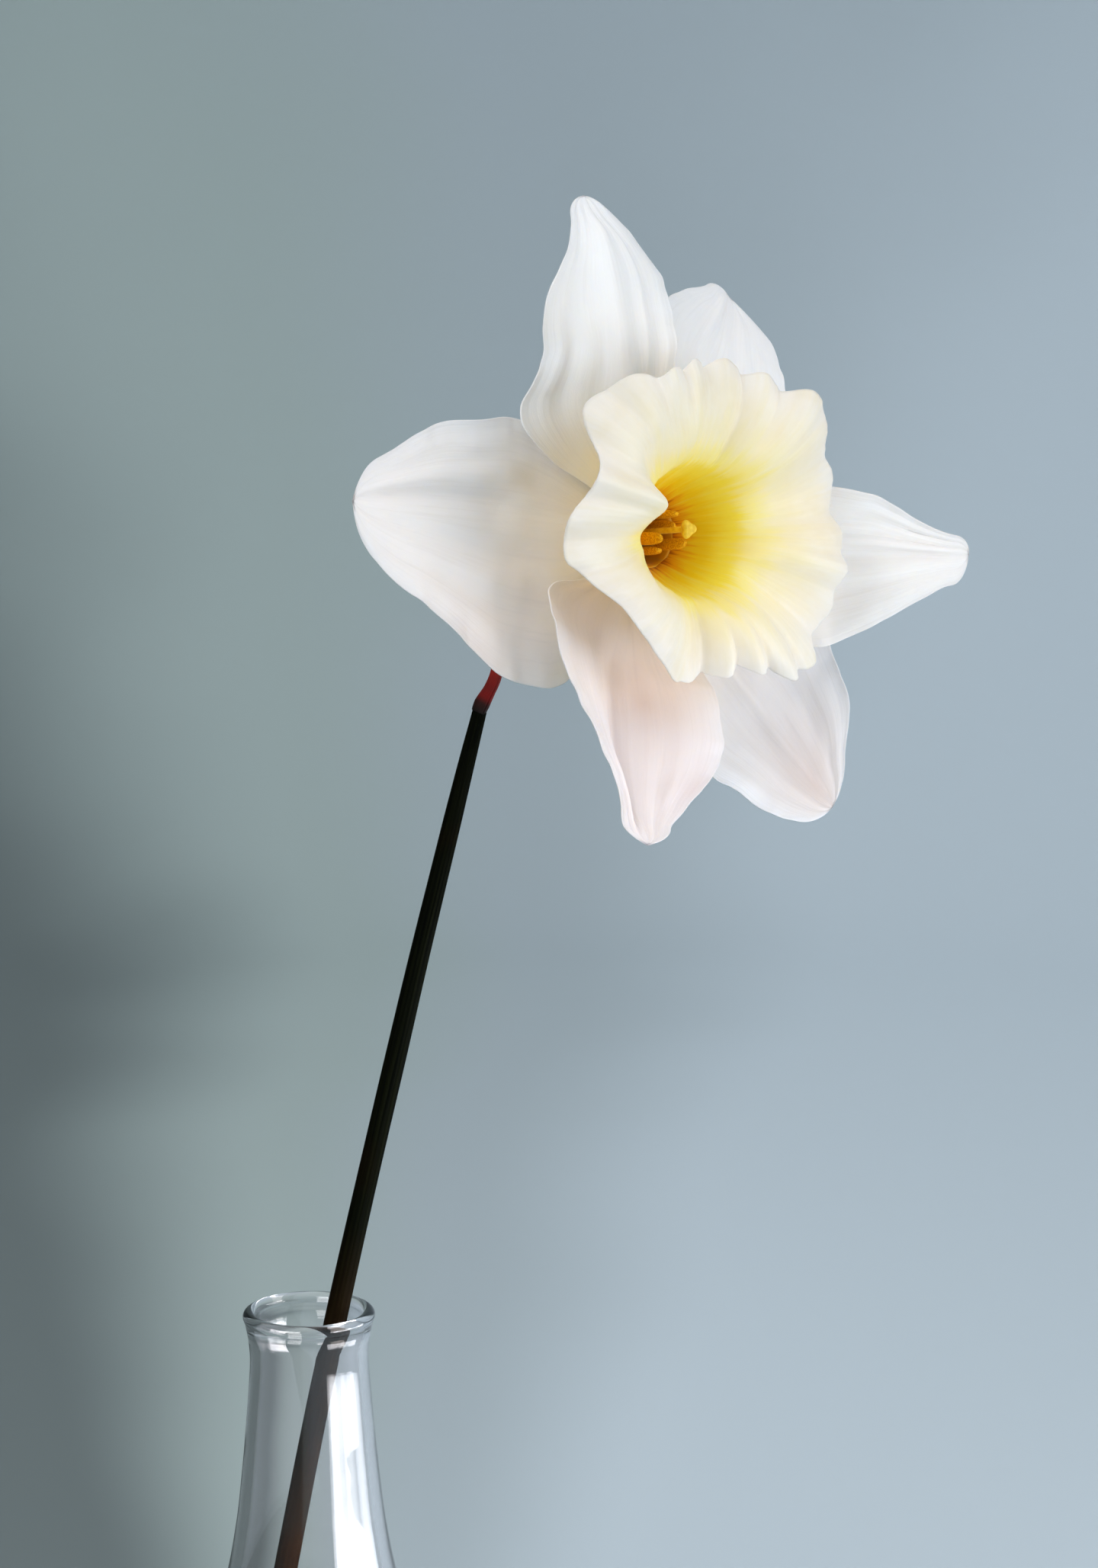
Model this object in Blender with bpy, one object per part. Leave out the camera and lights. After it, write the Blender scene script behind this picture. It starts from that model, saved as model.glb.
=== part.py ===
"""A cut narcissus standing in a small glass bud vase.

World frame: +Z up, the origin at the centre of the vase's flat foot. The stem leans towards +X and -Y,
and the flower faces -Y. The flower has a frame of its own, held by the empty "flower_axis": its origin
is the centre of the perianth, local +Z runs out of the trumpet, local +X is world +X and local +Y is up.
"""

import math

import bmesh
import bpy
import numpy as np
from mathutils import Matrix, Vector

MM = 0.001
GAP = 0.3 * MM  # clearance between neighbouring solids

# Vase
VASE_HEIGHT = 120 * MM
VASE_FLOOR = 5.0 * MM  # thickness of the heavy base
VASE_WALL_NECK = 1.5 * MM
VASE_WALL_BODY = 2.0 * MM
VASE_FOOT_RADIUS = 20.5 * MM  # the flat face that it stands on
WATER_LEVEL = 72 * MM

# Stem: it leans in one vertical plane, whose direction is LEAN, at LEAN_AT (height, distance from the axis)
LEAN = Vector((math.cos(math.radians(40)), -math.sin(math.radians(40)), 0))
LEAN_AT = [(5.6, -18.3), (45, -10.4), (80, -3.8), (120, 4.4), (165, 14.8), (195, 22.1), (211, 26.1)]  # mm
STEM_RADII = [1.85, 1.8, 1.7, 1.6, 1.45, 1.3, 1.0]  # mm, at the same heights

# Flower
FLOWER_CENTRE = Vector((18.4, -53.3, 239.0)) * MM
FLOWER_TILT = math.radians(4.5)  # the trumpet looks up by this much
TUBE_LENGTH = 18 * MM
TUBE_MOUTH_RADIUS = 4.2 * MM
TUBE_FOOT_RADIUS = 2.9 * MM
TUBE_WALL = 0.7 * MM
OVARY_LENGTH = 11 * MM
OVARY_RADIUS = 3.9 * MM
STALK_RADIUS = 0.9 * MM
SPATHE_LENGTH = 22 * MM
SPATHE_PARTING = 0.4  # share of its length that hugs the stalk
SPATHE_WRAP = math.radians(155)  # how far it reaches round the stalk on either side, at its foot
SPATHE_THICKNESS = 0.3 * MM
TEPAL_THICKNESS = 0.6 * MM
TEPAL_ROOT = 5.2 * MM  # distance of each tepal's foot from the flower's axis
INNER_FOOT, OUTER_FOOT = 0.5 * MM, -0.7 * MM  # where along the axis the feet of the two whorls are
CORONA_THICKNESS = 0.7 * MM
STAMENS = 6
LONG_STAMEN, SHORT_STAMEN = 1.5 * MM, -1.0 * MM  # heights of the filaments' tips
FILAMENT_RADII = [0.32 * MM, 0.30 * MM, 0.24 * MM]
ANTHER_RADIUS, ANTHER_HALF_LENGTH = 0.72 * MM, 3.0 * MM
STYLE_TIP = 9.0 * MM
STYLE_RADII = [0.5 * MM, 0.46 * MM, 0.42 * MM]

# Each tepal: where it points (degrees, from +X towards up), its length (mm), its two sides, the slope of its
# midrib at the foot and at the tip (degrees, towards the trumpet's mouth), how its midrib sweeps sideways,
# how it twists, how its margins cup forwards and how far it is folded along the midrib. A side is its half
# width (mm), how far along the tepal it is widest, and how it rises to there and falls to the tip. A wave
# runs along the margins: height as a share of the half width, waves, phase. Inner tepals lie in front.
TEPALS = {
    "tepal_inner_top": dict(
        inner=True, azimuth=98.5, length=41.8, left=(18.5, 0.29, 1.0, 1.6), right=(11, 0.45, 1.2, 2.8),
        slope=(10, -18), sweep=-3, twist=12, cup=20, fold=-0.10, wave=(0.10, 1.9, 0.75),
    ),
    "tepal_outer_upper_right": dict(
        inner=False, azimuth=47, length=42, left=(13.5, 0.50, 1.2, 2.8), right=(15.5, 0.50, 1.2, 2.8),
        slope=(-4, -30), sweep=2, twist=0, cup=14, fold=0.12, wave=(0.06, 1.4, 0.6),
    ),
    "tepal_inner_right": dict(
        inner=True, azimuth=-5, length=47, left=(9.5, 0.42, 1.2, 2.4), right=(14, 0.42, 1.2, 2.0),
        slope=(14, 26), sweep=-3, twist=12, cup=30, fold=0.14, wave=(0.05, 1.5, 0.4),
    ),
    "tepal_outer_lower_right": dict(
        inner=False, azimuth=-53, length=46.4, left=(14, 0.52, 1.2, 3.4), right=(14.5, 0.50, 1.2, 3.2),
        slope=(-2, 18), sweep=0, twist=-10, cup=22, fold=0.10, wave=(0.06, 1.3, 0.1),
    ),
    "tepal_inner_bottom": dict(
        inner=True, azimuth=-114.5, length=43.7, left=(15, 0.46, 1.2, 2.0), right=(17.5, 0.27, 0.7, 1.7),
        slope=(9, 45), sweep=4, twist=8, cup=26, fold=0.15, wave=(0.07, 1.6, 0.7),
    ),
    "tepal_outer_left": dict(
        inner=False, azimuth=173, length=40.4, left=(21.5, 0.28, 0.9, 1.6), right=(13.2, 0.50, 1.1, 3.4),
        slope=(-5, -6), sweep=-2, twist=0, cup=12, fold=0.03, wave=(0.04, 1.2, 0.3),
    ),
}

TEPAL_ROWS, TEPAL_COLUMNS = 16, 10
CORONA_SEGMENTS, CORONA_ROWS = 95, 10
LATHE_SEGMENTS = 36


# Materials


def material(name, colour, roughness, transmission=0.0, ior=1.45):
    made = bpy.data.materials.new(name)
    made.use_nodes = True
    shader = made.node_tree.nodes["Principled BSDF"]
    shader.inputs["Base Color"].default_value = (*colour, 1)
    shader.inputs["Roughness"].default_value = roughness
    shader.inputs["Metallic"].default_value = 0.0
    shader.inputs["Transmission Weight"].default_value = transmission
    shader.inputs["IOR"].default_value = ior
    return made


def make_materials():
    return {
        "glass": material("glass", (0.93, 0.95, 0.95), 0.02, 1.0, 1.5),
        "water": material("water", (0.95, 0.98, 0.98), 0.0, 1.0, 1.333),
        "stem": material("stem", (0.014, 0.018, 0.008), 0.45),
        "stalk": material("stalk", (0.05, 0.07, 0.02), 0.5),
        "spathe": material("spathe", (0.16, 0.016, 0.01), 0.6),
        "ovary": material("ovary", (0.09, 0.15, 0.03), 0.45),
        "tube": material("tube", (0.55, 0.62, 0.30), 0.5),
        "tepal": material("tepal", (0.84, 0.82, 0.80), 0.5),
        "corona": material("corona", (0.86, 0.74, 0.42), 0.5),
        "filament": material("filament", (0.75, 0.62, 0.20), 0.5),
        "anther": material("anther", (0.80, 0.48, 0.05), 0.8),
        "stigma": material("stigma", (0.72, 0.68, 0.30), 0.5),
    }


# Shapes


def smooth_line(points, per_span):
    """Catmull-Rom curve through the points, per_span steps to a span, as an array of rows."""
    p = np.array(points, float)
    p = np.vstack([2 * p[0] - p[1], p, 2 * p[-1] - p[-2]])
    rows = []
    for i in range(1, len(p) - 2):
        for t in np.arange(per_span) / per_span:
            a, b, c, d = p[i - 1 : i + 3]
            bend = (2 * a - 5 * b + 4 * c - d) * t**2 + (3 * b - a - 3 * c + d) * t**3
            rows.append(0.5 * (2 * b + (c - a) * t + bend))
    rows.append(p[-2])
    return np.array(rows)


def smooth_step(t):
    t = min(1.0, max(0.0, t))
    return t * t * (3 - 2 * t)


def add_object(name, mesh, made_of, parent=None):
    obj = bpy.data.objects.new(name, mesh)
    bpy.context.scene.collection.objects.link(obj)
    mesh.materials.clear()
    mesh.materials.append(made_of)
    mesh.shade_smooth()
    mesh.set_sharp_from_angle(angle=math.radians(50))
    obj.parent = parent
    return obj


def mesh_of(name, vertices, faces):
    mesh = bpy.data.meshes.new(name)
    mesh.from_pydata([tuple(v) for v in vertices], [], faces)
    work = bmesh.new()
    work.from_mesh(mesh)
    bmesh.ops.recalc_face_normals(work, faces=work.faces)
    work.to_mesh(mesh)
    work.free()
    return mesh


def lathe(name, profile, segments=LATHE_SEGMENTS, lobes=(0, 0.0)):
    """Mesh turned about Z from (radius, height) rows that start and end on the axis. lobes is a count of
    lobes round the axis and how deep they are, as a share of the radius."""
    count, depth = lobes
    inner = profile[1:-1]
    vertices = [(0, 0, profile[0][1])]
    for radius, height in inner:
        for k in range(segments):
            a = 2 * math.pi * k / segments
            r = radius * (1 + depth * math.cos(count * a))
            vertices.append((r * math.cos(a), r * math.sin(a), height))
    vertices.append((0, 0, profile[-1][1]))
    last = len(vertices) - 1
    faces = []
    for k in range(segments):
        n = (k + 1) % segments
        faces.append((0, 1 + k, 1 + n))
        for row in range(len(inner) - 1):
            at = 1 + row * segments
            faces.append((at + k, at + segments + k, at + segments + n, at + n))
        at = 1 + (len(inner) - 1) * segments
        faces.append((at + k, last, at + n))
    return mesh_of(name, vertices, faces)


def grid_mesh(name, grid, wrapped=False):
    """Open sheet of quads from rows of points. A wrapped sheet closes on itself along its rows."""
    rows, columns = grid.shape[:2]
    last = columns if wrapped else columns - 1
    faces = []
    for i in range(rows - 1):
        for j in range(last):
            n = (j + 1) % columns
            faces.append((i * columns + j, i * columns + n, (i + 1) * columns + n, (i + 1) * columns + j))
    return mesh_of(name, grid.reshape(-1, 3), faces)


def thicken(obj, thickness):
    solid = obj.modifiers.new("thickness", "SOLIDIFY")
    solid.thickness = thickness
    solid.offset = 0
    return obj


def rod(name, points, radii, made_of, parent=None, sides=3, steps=6):
    """Round rod along a smooth line through the points, with a radius for each of them."""
    line = smooth_line(points, steps)
    curve = bpy.data.curves.new(name, "CURVE")
    curve.dimensions = "3D"
    curve.bevel_depth = 1.0
    curve.bevel_resolution = sides
    curve.use_fill_caps = True
    spline = curve.splines.new("POLY")
    spline.points.add(len(line) - 1)
    for i, place in enumerate(line):
        spline.points[i].co = (*place, 1)
        spline.points[i].radius = np.interp(i / steps, range(len(radii)), radii)
    curve.materials.append(made_of)
    obj = bpy.data.objects.new(name, curve)
    bpy.context.scene.collection.objects.link(obj)
    obj.parent = parent
    return obj


# Vase and water

# (radius, height), mm: from the edge of the flat foot up the outside to the lip
VASE_OUTSIDE = [
    (23.4, 1.6), (26.8, 10), (29.2, 22), (29.3, 34), (27.0, 46), (22.4, 57), (17.3, 67), (13.6, 76),
    (11.5, 86), (10.3, 96), (9.4, 106), (9.0, 112), (9.2, 115.5),
]
LIP_RADIUS, LIP_HALF = 9.0 * MM, 1.0 * MM  # of the rolled lip: its middle circle, its half thickness


def vase_outside():
    """Outside of the vase from the edge of its foot to just under the lip, as (radius, height) rows."""
    return smooth_line(VASE_OUTSIDE, 1) * MM


def vase_inside():
    """Inside of the vase from under the lip down to the edge of its floor."""
    outside = vase_outside()
    along = np.gradient(outside, axis=0)
    along /= np.linalg.norm(along, axis=1)[:, None]
    inwards = np.stack([-along[:, 1], along[:, 0]], axis=1)
    share = np.clip((outside[:, 1] - 70 * MM) / (30 * MM), 0, 1)[:, None]
    wall = VASE_WALL_BODY * (1 - share) + VASE_WALL_NECK * share
    inside = (outside + inwards * wall)[::-1]
    return inside[inside[:, 1] > VASE_FLOOR + 2.0 * MM]


def lip_arc():
    """Rounded top of the flared lip, from its outside over to its inside."""
    rows = []
    for degrees in range(-30, 211, 30):
        a = math.radians(degrees)
        rows.append((LIP_RADIUS + LIP_HALF * math.cos(a), VASE_HEIGHT - LIP_HALF + LIP_HALF * math.sin(a)))
    return np.array(rows)


def vase_floor(inside, lift=0.0):
    """Rounded corner from the lowest row of the inside to the flat floor, and the floor's centre."""
    edge = inside[-1, 0]
    corner = 2.0 * MM - lift
    return np.array(
        [
            (edge - 0.8 * MM, VASE_FLOOR + lift + 0.30 * corner),
            (edge - 2.6 * MM, VASE_FLOOR + lift),
            (0, VASE_FLOOR + lift),
        ]
    )


def make_vase(made_of):
    foot = np.array([(0, 0), (VASE_FOOT_RADIUS, 0), (22.6 * MM, 0.5 * MM)])
    inside = vase_inside()
    profile = np.vstack([foot, vase_outside(), lip_arc(), inside, vase_floor(inside)])
    return add_object("vase", lathe("vase", profile), made_of)


def stem_places():
    return [LEAN * (away * MM) + Vector((0, 0, height * MM)) for height, away in LEAN_AT]


def make_water(made_of):
    """Water up to its level, with the stem's own place left free in it."""
    inside = vase_inside()[::-1]
    edge = np.interp(WATER_LEVEL, inside[:, 1], inside[:, 0])
    inside = np.vstack([inside[inside[:, 1] < WATER_LEVEL], (edge, WATER_LEVEL)])
    along = np.gradient(inside, axis=0)
    along /= np.linalg.norm(along, axis=1)[:, None]
    inside = inside + np.stack([-along[:, 1], along[:, 0]], axis=1) * GAP
    floor = vase_floor(inside[::-1], GAP)[::-1]
    surface = (0, inside[-1, 1])
    water = add_object("water", lathe("water", np.vstack([floor, inside, surface])), made_of)
    places = stem_places()
    below = places[0] + (places[0] - places[1]).normalized() * 3 * MM
    radii = [radius * MM + GAP for radius in STEM_RADII]
    room = rod("stem_room", [below] + places, radii[:1] + radii, made_of)
    evaluated = room.evaluated_get(bpy.context.evaluated_depsgraph_get())
    cutter = bpy.data.objects.new("stem_room_mesh", bpy.data.meshes.new_from_object(evaluated))
    bpy.context.scene.collection.objects.link(cutter)
    for helper in (room, cutter):
        helper.hide_render = True
        helper.display_type = "WIRE"
    cut = water.modifiers.new("stem", "BOOLEAN")
    cut.operation = "DIFFERENCE"
    cut.object = cutter
    return water


# Stem, stalk and spathe


def in_world(point):
    """World place of a point of the flower's frame."""
    return flower_matrix() @ Vector(point)


def flower_matrix():
    turn = Matrix.Rotation(math.pi / 2 - FLOWER_TILT, 4, "X")
    return Matrix.Translation(FLOWER_CENTRE) @ turn


def make_stem(made_of):
    return rod("stem", stem_places(), [radius * MM for radius in STEM_RADII], made_of)


def stalk_places():
    """The stalk leans a little more than the stem below it, then bends over to the ovary, clear of both."""
    top = stem_places()
    rise = (top[-1] - top[-2]).normalized()
    start = top[-1] + rise * 2 * GAP
    end = in_world((0, 0, -(TUBE_LENGTH + OVARY_LENGTH + 3 * GAP)))
    bend = in_world((0, -1.0 * MM, -(TUBE_LENGTH + OVARY_LENGTH + 6 * MM)))
    middle = start + LEAN * 2.5 * MM + Vector((0, 0, 6.5 * MM))
    shoulder = Vector((bend.x + 2.4 * MM, bend.y - 0.2 * MM, bend.z - 6 * MM))
    return [start, middle, shoulder, bend, end]


def make_stalk(made_of):
    radii = [STALK_RADIUS, STALK_RADIUS, STALK_RADIUS * 1.1, STALK_RADIUS * 1.2, STALK_RADIUS * 1.4]
    return rod("pedicel", stalk_places(), radii, made_of)


def make_spathe(made_of):
    """A papery sheath, wrapped round the foot of the stalk, open on the side that the stalk bends to, and
    drawn out to a point behind it."""
    line = smooth_line(stalk_places(), 12)
    reach = np.concatenate([[0], np.cumsum(np.linalg.norm(np.diff(line, axis=0), axis=1))])
    rows, columns = 11, 11
    grid = np.zeros((rows, columns, 3))
    for i in range(rows):
        s = i / (rows - 1)
        at = min(s, SPATHE_PARTING) * SPATHE_LENGTH
        centre = Vector([np.interp(at, reach, line[:, k]) for k in range(3)])
        ahead = Vector([np.interp(at + MM, reach, line[:, k]) for k in range(3)])
        along = (ahead - centre).normalized()
        side = along.cross(in_world((0, 0, 1)) - FLOWER_CENTRE).normalized()
        out = side.cross(along)
        leave = max(0.0, s - SPATHE_PARTING)
        centre += along * (leave * SPATHE_LENGTH) - out * (leave**1.3 * 4.0 * MM)
        radius = STALK_RADIUS + (0.55 + 0.4 * math.sin(math.pi * s)) * MM
        wrap = SPATHE_WRAP * (1 - s**1.2) + 0.12
        for j in range(columns):
            a = math.pi + wrap * (2 * j / (columns - 1) - 1)
            grid[i, j] = centre + (out * math.cos(a) + side * math.sin(a)) * radius
    obj = add_object("spathe", grid_mesh("spathe", grid), made_of)
    return thicken(obj, SPATHE_THICKNESS)


# Flower


def tepal_half_width(s, side):
    """Half width of one side of a tepal, s of the way along it."""
    widest, place, rise, fall = side
    if s <= place:
        return widest * (0.2 + 0.8 * math.sin(math.pi / 2 * s / place) ** rise)
    return widest * max(0.05, (1 - ((s - place) / (1 - place)) ** fall) ** 0.8)


def midrib_direction(spec, s):
    """Unit vector along a tepal's midrib, s of the way along it, and its sideways heading there."""
    foot_slope, tip_slope = (math.radians(a) for a in spec["slope"])
    slope = foot_slope + (tip_slope - foot_slope) * s**1.3
    heading = math.radians(spec["sweep"]) * s
    level = math.cos(slope)
    return np.array([level * math.cos(heading), level * math.sin(heading), math.sin(slope)]), heading


def tepal_grid(spec, rows=TEPAL_ROWS, columns=TEPAL_COLUMNS):
    """Points of a tepal's middle surface in the flower's frame, in rows from its foot to its tip."""
    length = spec["length"] * MM
    place = np.array([TEPAL_ROOT, 0.0, INNER_FOOT if spec["inner"] else OUTER_FOOT])
    grid = np.zeros((rows, columns, 3))
    steps = 8  # finer steps along the midrib than the rows
    for i in range(rows):
        s = i / (rows - 1)
        ahead, heading = midrib_direction(spec, s)
        twist = math.radians(spec["twist"]) * s**1.5
        flat = np.array([-math.sin(heading), math.cos(heading), 0.0])
        front = np.cross(ahead, flat)
        across = flat * math.cos(twist) + front * math.sin(twist)
        front = np.cross(ahead, across)
        open_share = min(1.0, s / 0.35)
        for j in range(columns):
            x = 2 * j / (columns - 1) - 1
            half = tepal_half_width(s, spec["left"] if x > 0 else spec["right"]) * MM
            bend = math.radians(spec["cup"]) * (1 - 0.35 * s) * open_share
            arc = bend * x
            aside = half * (math.sin(arc) / bend if bend > 1e-6 else x)
            lift = half * ((1 - math.cos(arc)) / bend if bend > 1e-6 else 0.0)
            lift += half * spec["fold"] * (math.hypot(x, 0.15) - 0.15) * open_share
            high, turns, phase = spec["wave"]
            lift += half * high * x * abs(x) * math.sin(2 * math.pi * (turns * s + phase)) * open_share
            grid[i, j] = place + across * aside + front * lift
        if i < rows - 1:
            for k in range(steps):
                t = s + (k + 0.5) / steps / (rows - 1)
                place = place + length / steps / (rows - 1) * midrib_direction(spec, t)[0]
    turn = math.radians(spec["azimuth"])
    around = np.array([[math.cos(turn), math.sin(turn), 0], [-math.sin(turn), math.cos(turn), 0], [0, 0, 1]])
    return grid @ around


def make_tepals(made_of, flower):
    for name, spec in TEPALS.items():
        obj = add_object(name, grid_mesh(name, tepal_grid(spec)), made_of, flower)
        thicken(obj, TEPAL_THICKNESS)


# (radius, distance along the axis), mm: from the corona's foot, up its tube and out along its flat flange
CORONA_PROFILE = [
    (4.9, 1.4), (5.5, 2.9), (7.0, 5.6), (8.4, 9.0), (9.8, 12.4), (12.4, 15.2), (16.0, 16.9), (19.5, 17.2),
    (21.9, 16.6),
]
FOLDS, FOLD_HEIGHT = 6, 2.1 * MM  # broad undulations of the flange
PLEATS, PLEAT_HEIGHT = 19, 0.8 * MM  # narrow pleats that run from the throat to the rim


def corona_grid(rows=CORONA_ROWS, segments=CORONA_SEGMENTS):
    """Points of the corona's middle surface, in rings from its foot to its frilled rim."""
    profile = smooth_line(CORONA_PROFILE, 12) * MM
    length = np.concatenate([[0], np.cumsum(np.linalg.norm(np.diff(profile, axis=0), axis=1))])
    share = np.linspace(0, 1, rows)
    radius = np.interp(share * length[-1], length, profile[:, 0])
    height = np.interp(share * length[-1], length, profile[:, 1])
    grid = np.zeros((rows, segments, 3))
    for i in range(rows):
        s = share[i]
        flange = smooth_step((s - 0.35) / 0.35)
        rim = max(0.0, s - 0.5) / 0.5
        for j in range(segments):
            a = 2 * math.pi * j / segments
            wander = 0.10 * math.sin(2 * a + 0.6) + 0.06 * math.sin(5 * a + 2.0)
            fold = math.cos(FOLDS * (a + wander - math.radians(165)))
            pleat = math.cos(PLEATS * (a + 0.5 * wander))
            out = (0.5 * pleat * s * (1 - rim) + 0.7 * pleat * rim - 0.5 * fold * rim) * MM
            up = FOLD_HEIGHT * fold * flange + PLEAT_HEIGHT * pleat * rim
            r = radius[i] + out
            grid[i, j] = (r * math.cos(a), r * math.sin(a), height[i] + up)
    return grid


def make_corona(made_of, flower):
    obj = add_object("corona", grid_mesh("corona", corona_grid(), wrapped=True), made_of, flower)
    return thicken(obj, CORONA_THICKNESS)


def make_tube(made_of, flower):
    """The perianth tube: closed at the ovary, open at its flared mouth."""
    foot = TUBE_FOOT_RADIUS
    outside = smooth_line([(foot, -18), (foot + 0.1 * MM, -14), (3.4 * MM, -6), (4.6 * MM, -1.2)], 2)
    outside[:, 1] *= MM
    inside = outside[::-1] - np.array([TUBE_WALL, 0])
    inside = inside[inside[:, 1] > -TUBE_LENGTH + TUBE_WALL]
    lip = np.array([(TUBE_MOUTH_RADIUS + 0.5 * MM, 0.2 * MM), (TUBE_MOUTH_RADIUS, 0.4 * MM)])
    floor = np.array([(inside[-1, 0], -TUBE_LENGTH + TUBE_WALL), (0, -TUBE_LENGTH + TUBE_WALL)])
    profile = np.vstack([[(0, -TUBE_LENGTH)], outside, lip, inside, floor])
    mesh = lathe("perianth_tube", profile, 24)
    return add_object("perianth_tube", mesh, made_of, flower)


def make_ovary(made_of, flower):
    """Three-sided egg behind the tube."""
    top = -TUBE_LENGTH - GAP
    rows = [(0, top - OVARY_LENGTH)]
    for degrees in range(-75, 76, 15):
        a = math.radians(degrees)
        rows.append((OVARY_RADIUS * math.cos(a) ** 0.8, top - OVARY_LENGTH * (0.5 - 0.5 * math.sin(a))))
    rows.append((0, top))
    mesh = lathe("ovary", np.array(rows), 24, lobes=(3, 0.07))
    return add_object("ovary", mesh, made_of, flower)


def make_stamens(filament_look, anther_look, flower):
    """Six stamens round the style, in a long and a short whorl."""
    floor = -TUBE_LENGTH + TUBE_WALL + GAP
    for k in range(STAMENS):
        a = 2 * math.pi * k / STAMENS + 0.3
        away = Vector((math.cos(a), math.sin(a), 0))
        tip = LONG_STAMEN if k % 2 else SHORT_STAMEN
        places = [
            away * 1.55 * MM + Vector((0, 0, floor)),
            away * 1.7 * MM + Vector((0, 0, floor * 0.5)),
            away * 2.35 * MM + Vector((0, 0, tip)),
        ]
        rod(f"filament_{k + 1}", places, FILAMENT_RADII, filament_look, flower, sides=1, steps=4)
        rows = [(0, -ANTHER_HALF_LENGTH)]
        for degrees in range(-70, 71, 20):
            b = math.radians(degrees)
            rows.append((ANTHER_RADIUS * math.cos(b) ** 0.6, ANTHER_HALF_LENGTH * math.sin(b)))
        rows.append((0, ANTHER_HALF_LENGTH))
        mesh = lathe(f"anther_{k + 1}", np.array(rows), 10, lobes=(2, 0.22))
        anther = add_object(f"anther_{k + 1}", mesh, anther_look, flower)
        anther.location = away * 2.5 * MM + Vector((0, 0, tip + ANTHER_HALF_LENGTH + GAP))
        anther.rotation_euler = (0, 0, a + math.pi / 2)


def make_pistil(stigma_look, flower):
    floor = -TUBE_LENGTH + TUBE_WALL + GAP
    places = [(0, 0, floor), (0.1 * MM, 0, floor / 2), (0.15 * MM, 0.25 * MM, STYLE_TIP)]
    rod("style", places, STYLE_RADII, stigma_look, flower, sides=2, steps=5)
    rows = np.array([(0, 0), (0.5, 0.1), (1.0, 0.7), (1.15, 1.1), (0.9, 1.5), (0.4, 1.55), (0, 1.5)]) * MM
    stigma = add_object("stigma", lathe("stigma", rows, 18, lobes=(3, 0.22)), stigma_look, flower)
    stigma.location = (0.15 * MM, 0.25 * MM, STYLE_TIP + GAP)


def main():
    for obj in list(bpy.data.objects):
        bpy.data.objects.remove(obj)
    looks = make_materials()
    make_vase(looks["glass"])
    make_water(looks["water"])
    make_stem(looks["stem"])
    make_stalk(looks["stalk"])
    make_spathe(looks["spathe"])
    flower = bpy.data.objects.new("flower_axis", None)
    bpy.context.scene.collection.objects.link(flower)
    flower.matrix_world = flower_matrix()
    make_ovary(looks["ovary"], flower)
    make_tube(looks["tube"], flower)
    make_tepals(looks["tepal"], flower)
    make_corona(looks["corona"], flower)
    make_stamens(looks["filament"], looks["anther"], flower)
    make_pistil(looks["stigma"], flower)


main()
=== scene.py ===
"""Looks of a cut narcissus that stands in a small glass bud vase.

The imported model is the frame. Each of its nodes is replaced here by a fine surface in the same place, with
a procedural material. The flower has a frame of its own, as it has in the CAD: its origin is the centre of
the perianth, local +Z runs out of the trumpet, local +X is world +X and local +Y is up. Lengths are in mm,
except in the studio, which is in metres.
"""

import math

import bpy
import numpy as np
from mathutils import Matrix, Vector


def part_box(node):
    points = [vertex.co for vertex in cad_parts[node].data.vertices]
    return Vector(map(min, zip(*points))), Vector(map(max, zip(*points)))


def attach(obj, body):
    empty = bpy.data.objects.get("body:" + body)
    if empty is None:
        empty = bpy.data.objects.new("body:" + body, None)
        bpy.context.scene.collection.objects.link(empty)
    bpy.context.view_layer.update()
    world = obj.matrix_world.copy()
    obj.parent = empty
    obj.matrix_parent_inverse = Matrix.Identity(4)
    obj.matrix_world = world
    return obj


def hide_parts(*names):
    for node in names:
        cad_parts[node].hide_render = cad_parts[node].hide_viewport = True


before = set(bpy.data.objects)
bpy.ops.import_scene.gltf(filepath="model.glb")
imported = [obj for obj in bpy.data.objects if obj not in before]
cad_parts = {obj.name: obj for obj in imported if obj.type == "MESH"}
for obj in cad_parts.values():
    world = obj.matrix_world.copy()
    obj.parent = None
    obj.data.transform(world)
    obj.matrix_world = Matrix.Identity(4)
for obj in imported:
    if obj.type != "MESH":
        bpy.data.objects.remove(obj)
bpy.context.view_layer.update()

MM = 0.001
VASE_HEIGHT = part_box("vase")[1].z
WATER_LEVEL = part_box("water")[1].z

# Stem: it leans in one vertical plane, whose direction is LEAN, at LEAN_AT (height, distance from the axis)
LEAN = Vector((math.cos(math.radians(40)), -math.sin(math.radians(40)), 0))
LEAN_AT = [(5.6, -18.3), (45, -10.4), (80, -3.8), (120, 4.4), (165, 14.8), (195, 22.1), (211, 26.1)]
STEM_RADII = [1.85, 1.8, 1.7, 1.6, 1.45, 1.3, 1.0]  # at the same heights

# Spathe: its length, and the shares of it up to which it is closed and up to which it follows the stalk
SPATHE_LENGTH = 22.0
SPATHE_CLOSED, SPATHE_PARTING = 0.28, 0.4
SPATHE_HALF = 0.09  # half its thickness

# Flower
FLOWER_CENTRE = Vector((18.4, -53.3, 239.0)) * MM
FLOWER_TILT = math.radians(4.5)  # the trumpet looks up by this much
FLOWER = Matrix.Translation(FLOWER_CENTRE) @ Matrix.Rotation(math.pi / 2 - FLOWER_TILT, 4, "X")
TUBE_LENGTH = 18.0
OVARY_LENGTH = 11.0
OVARY_RADIUS = 3.9
STALK_RADIUS = 0.9
TEPAL_ROOT = 4.9  # distance of the tepals' feet from the axis
STAMENS = 6
SACS_AT = (-1.0, 1.5)  # about where the stamens' pollen sacs begin, in turn
SAC_RADIUS, SAC_HALF_LENGTH = 0.72, 3.0
STYLE_TIP = 9.0

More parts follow.
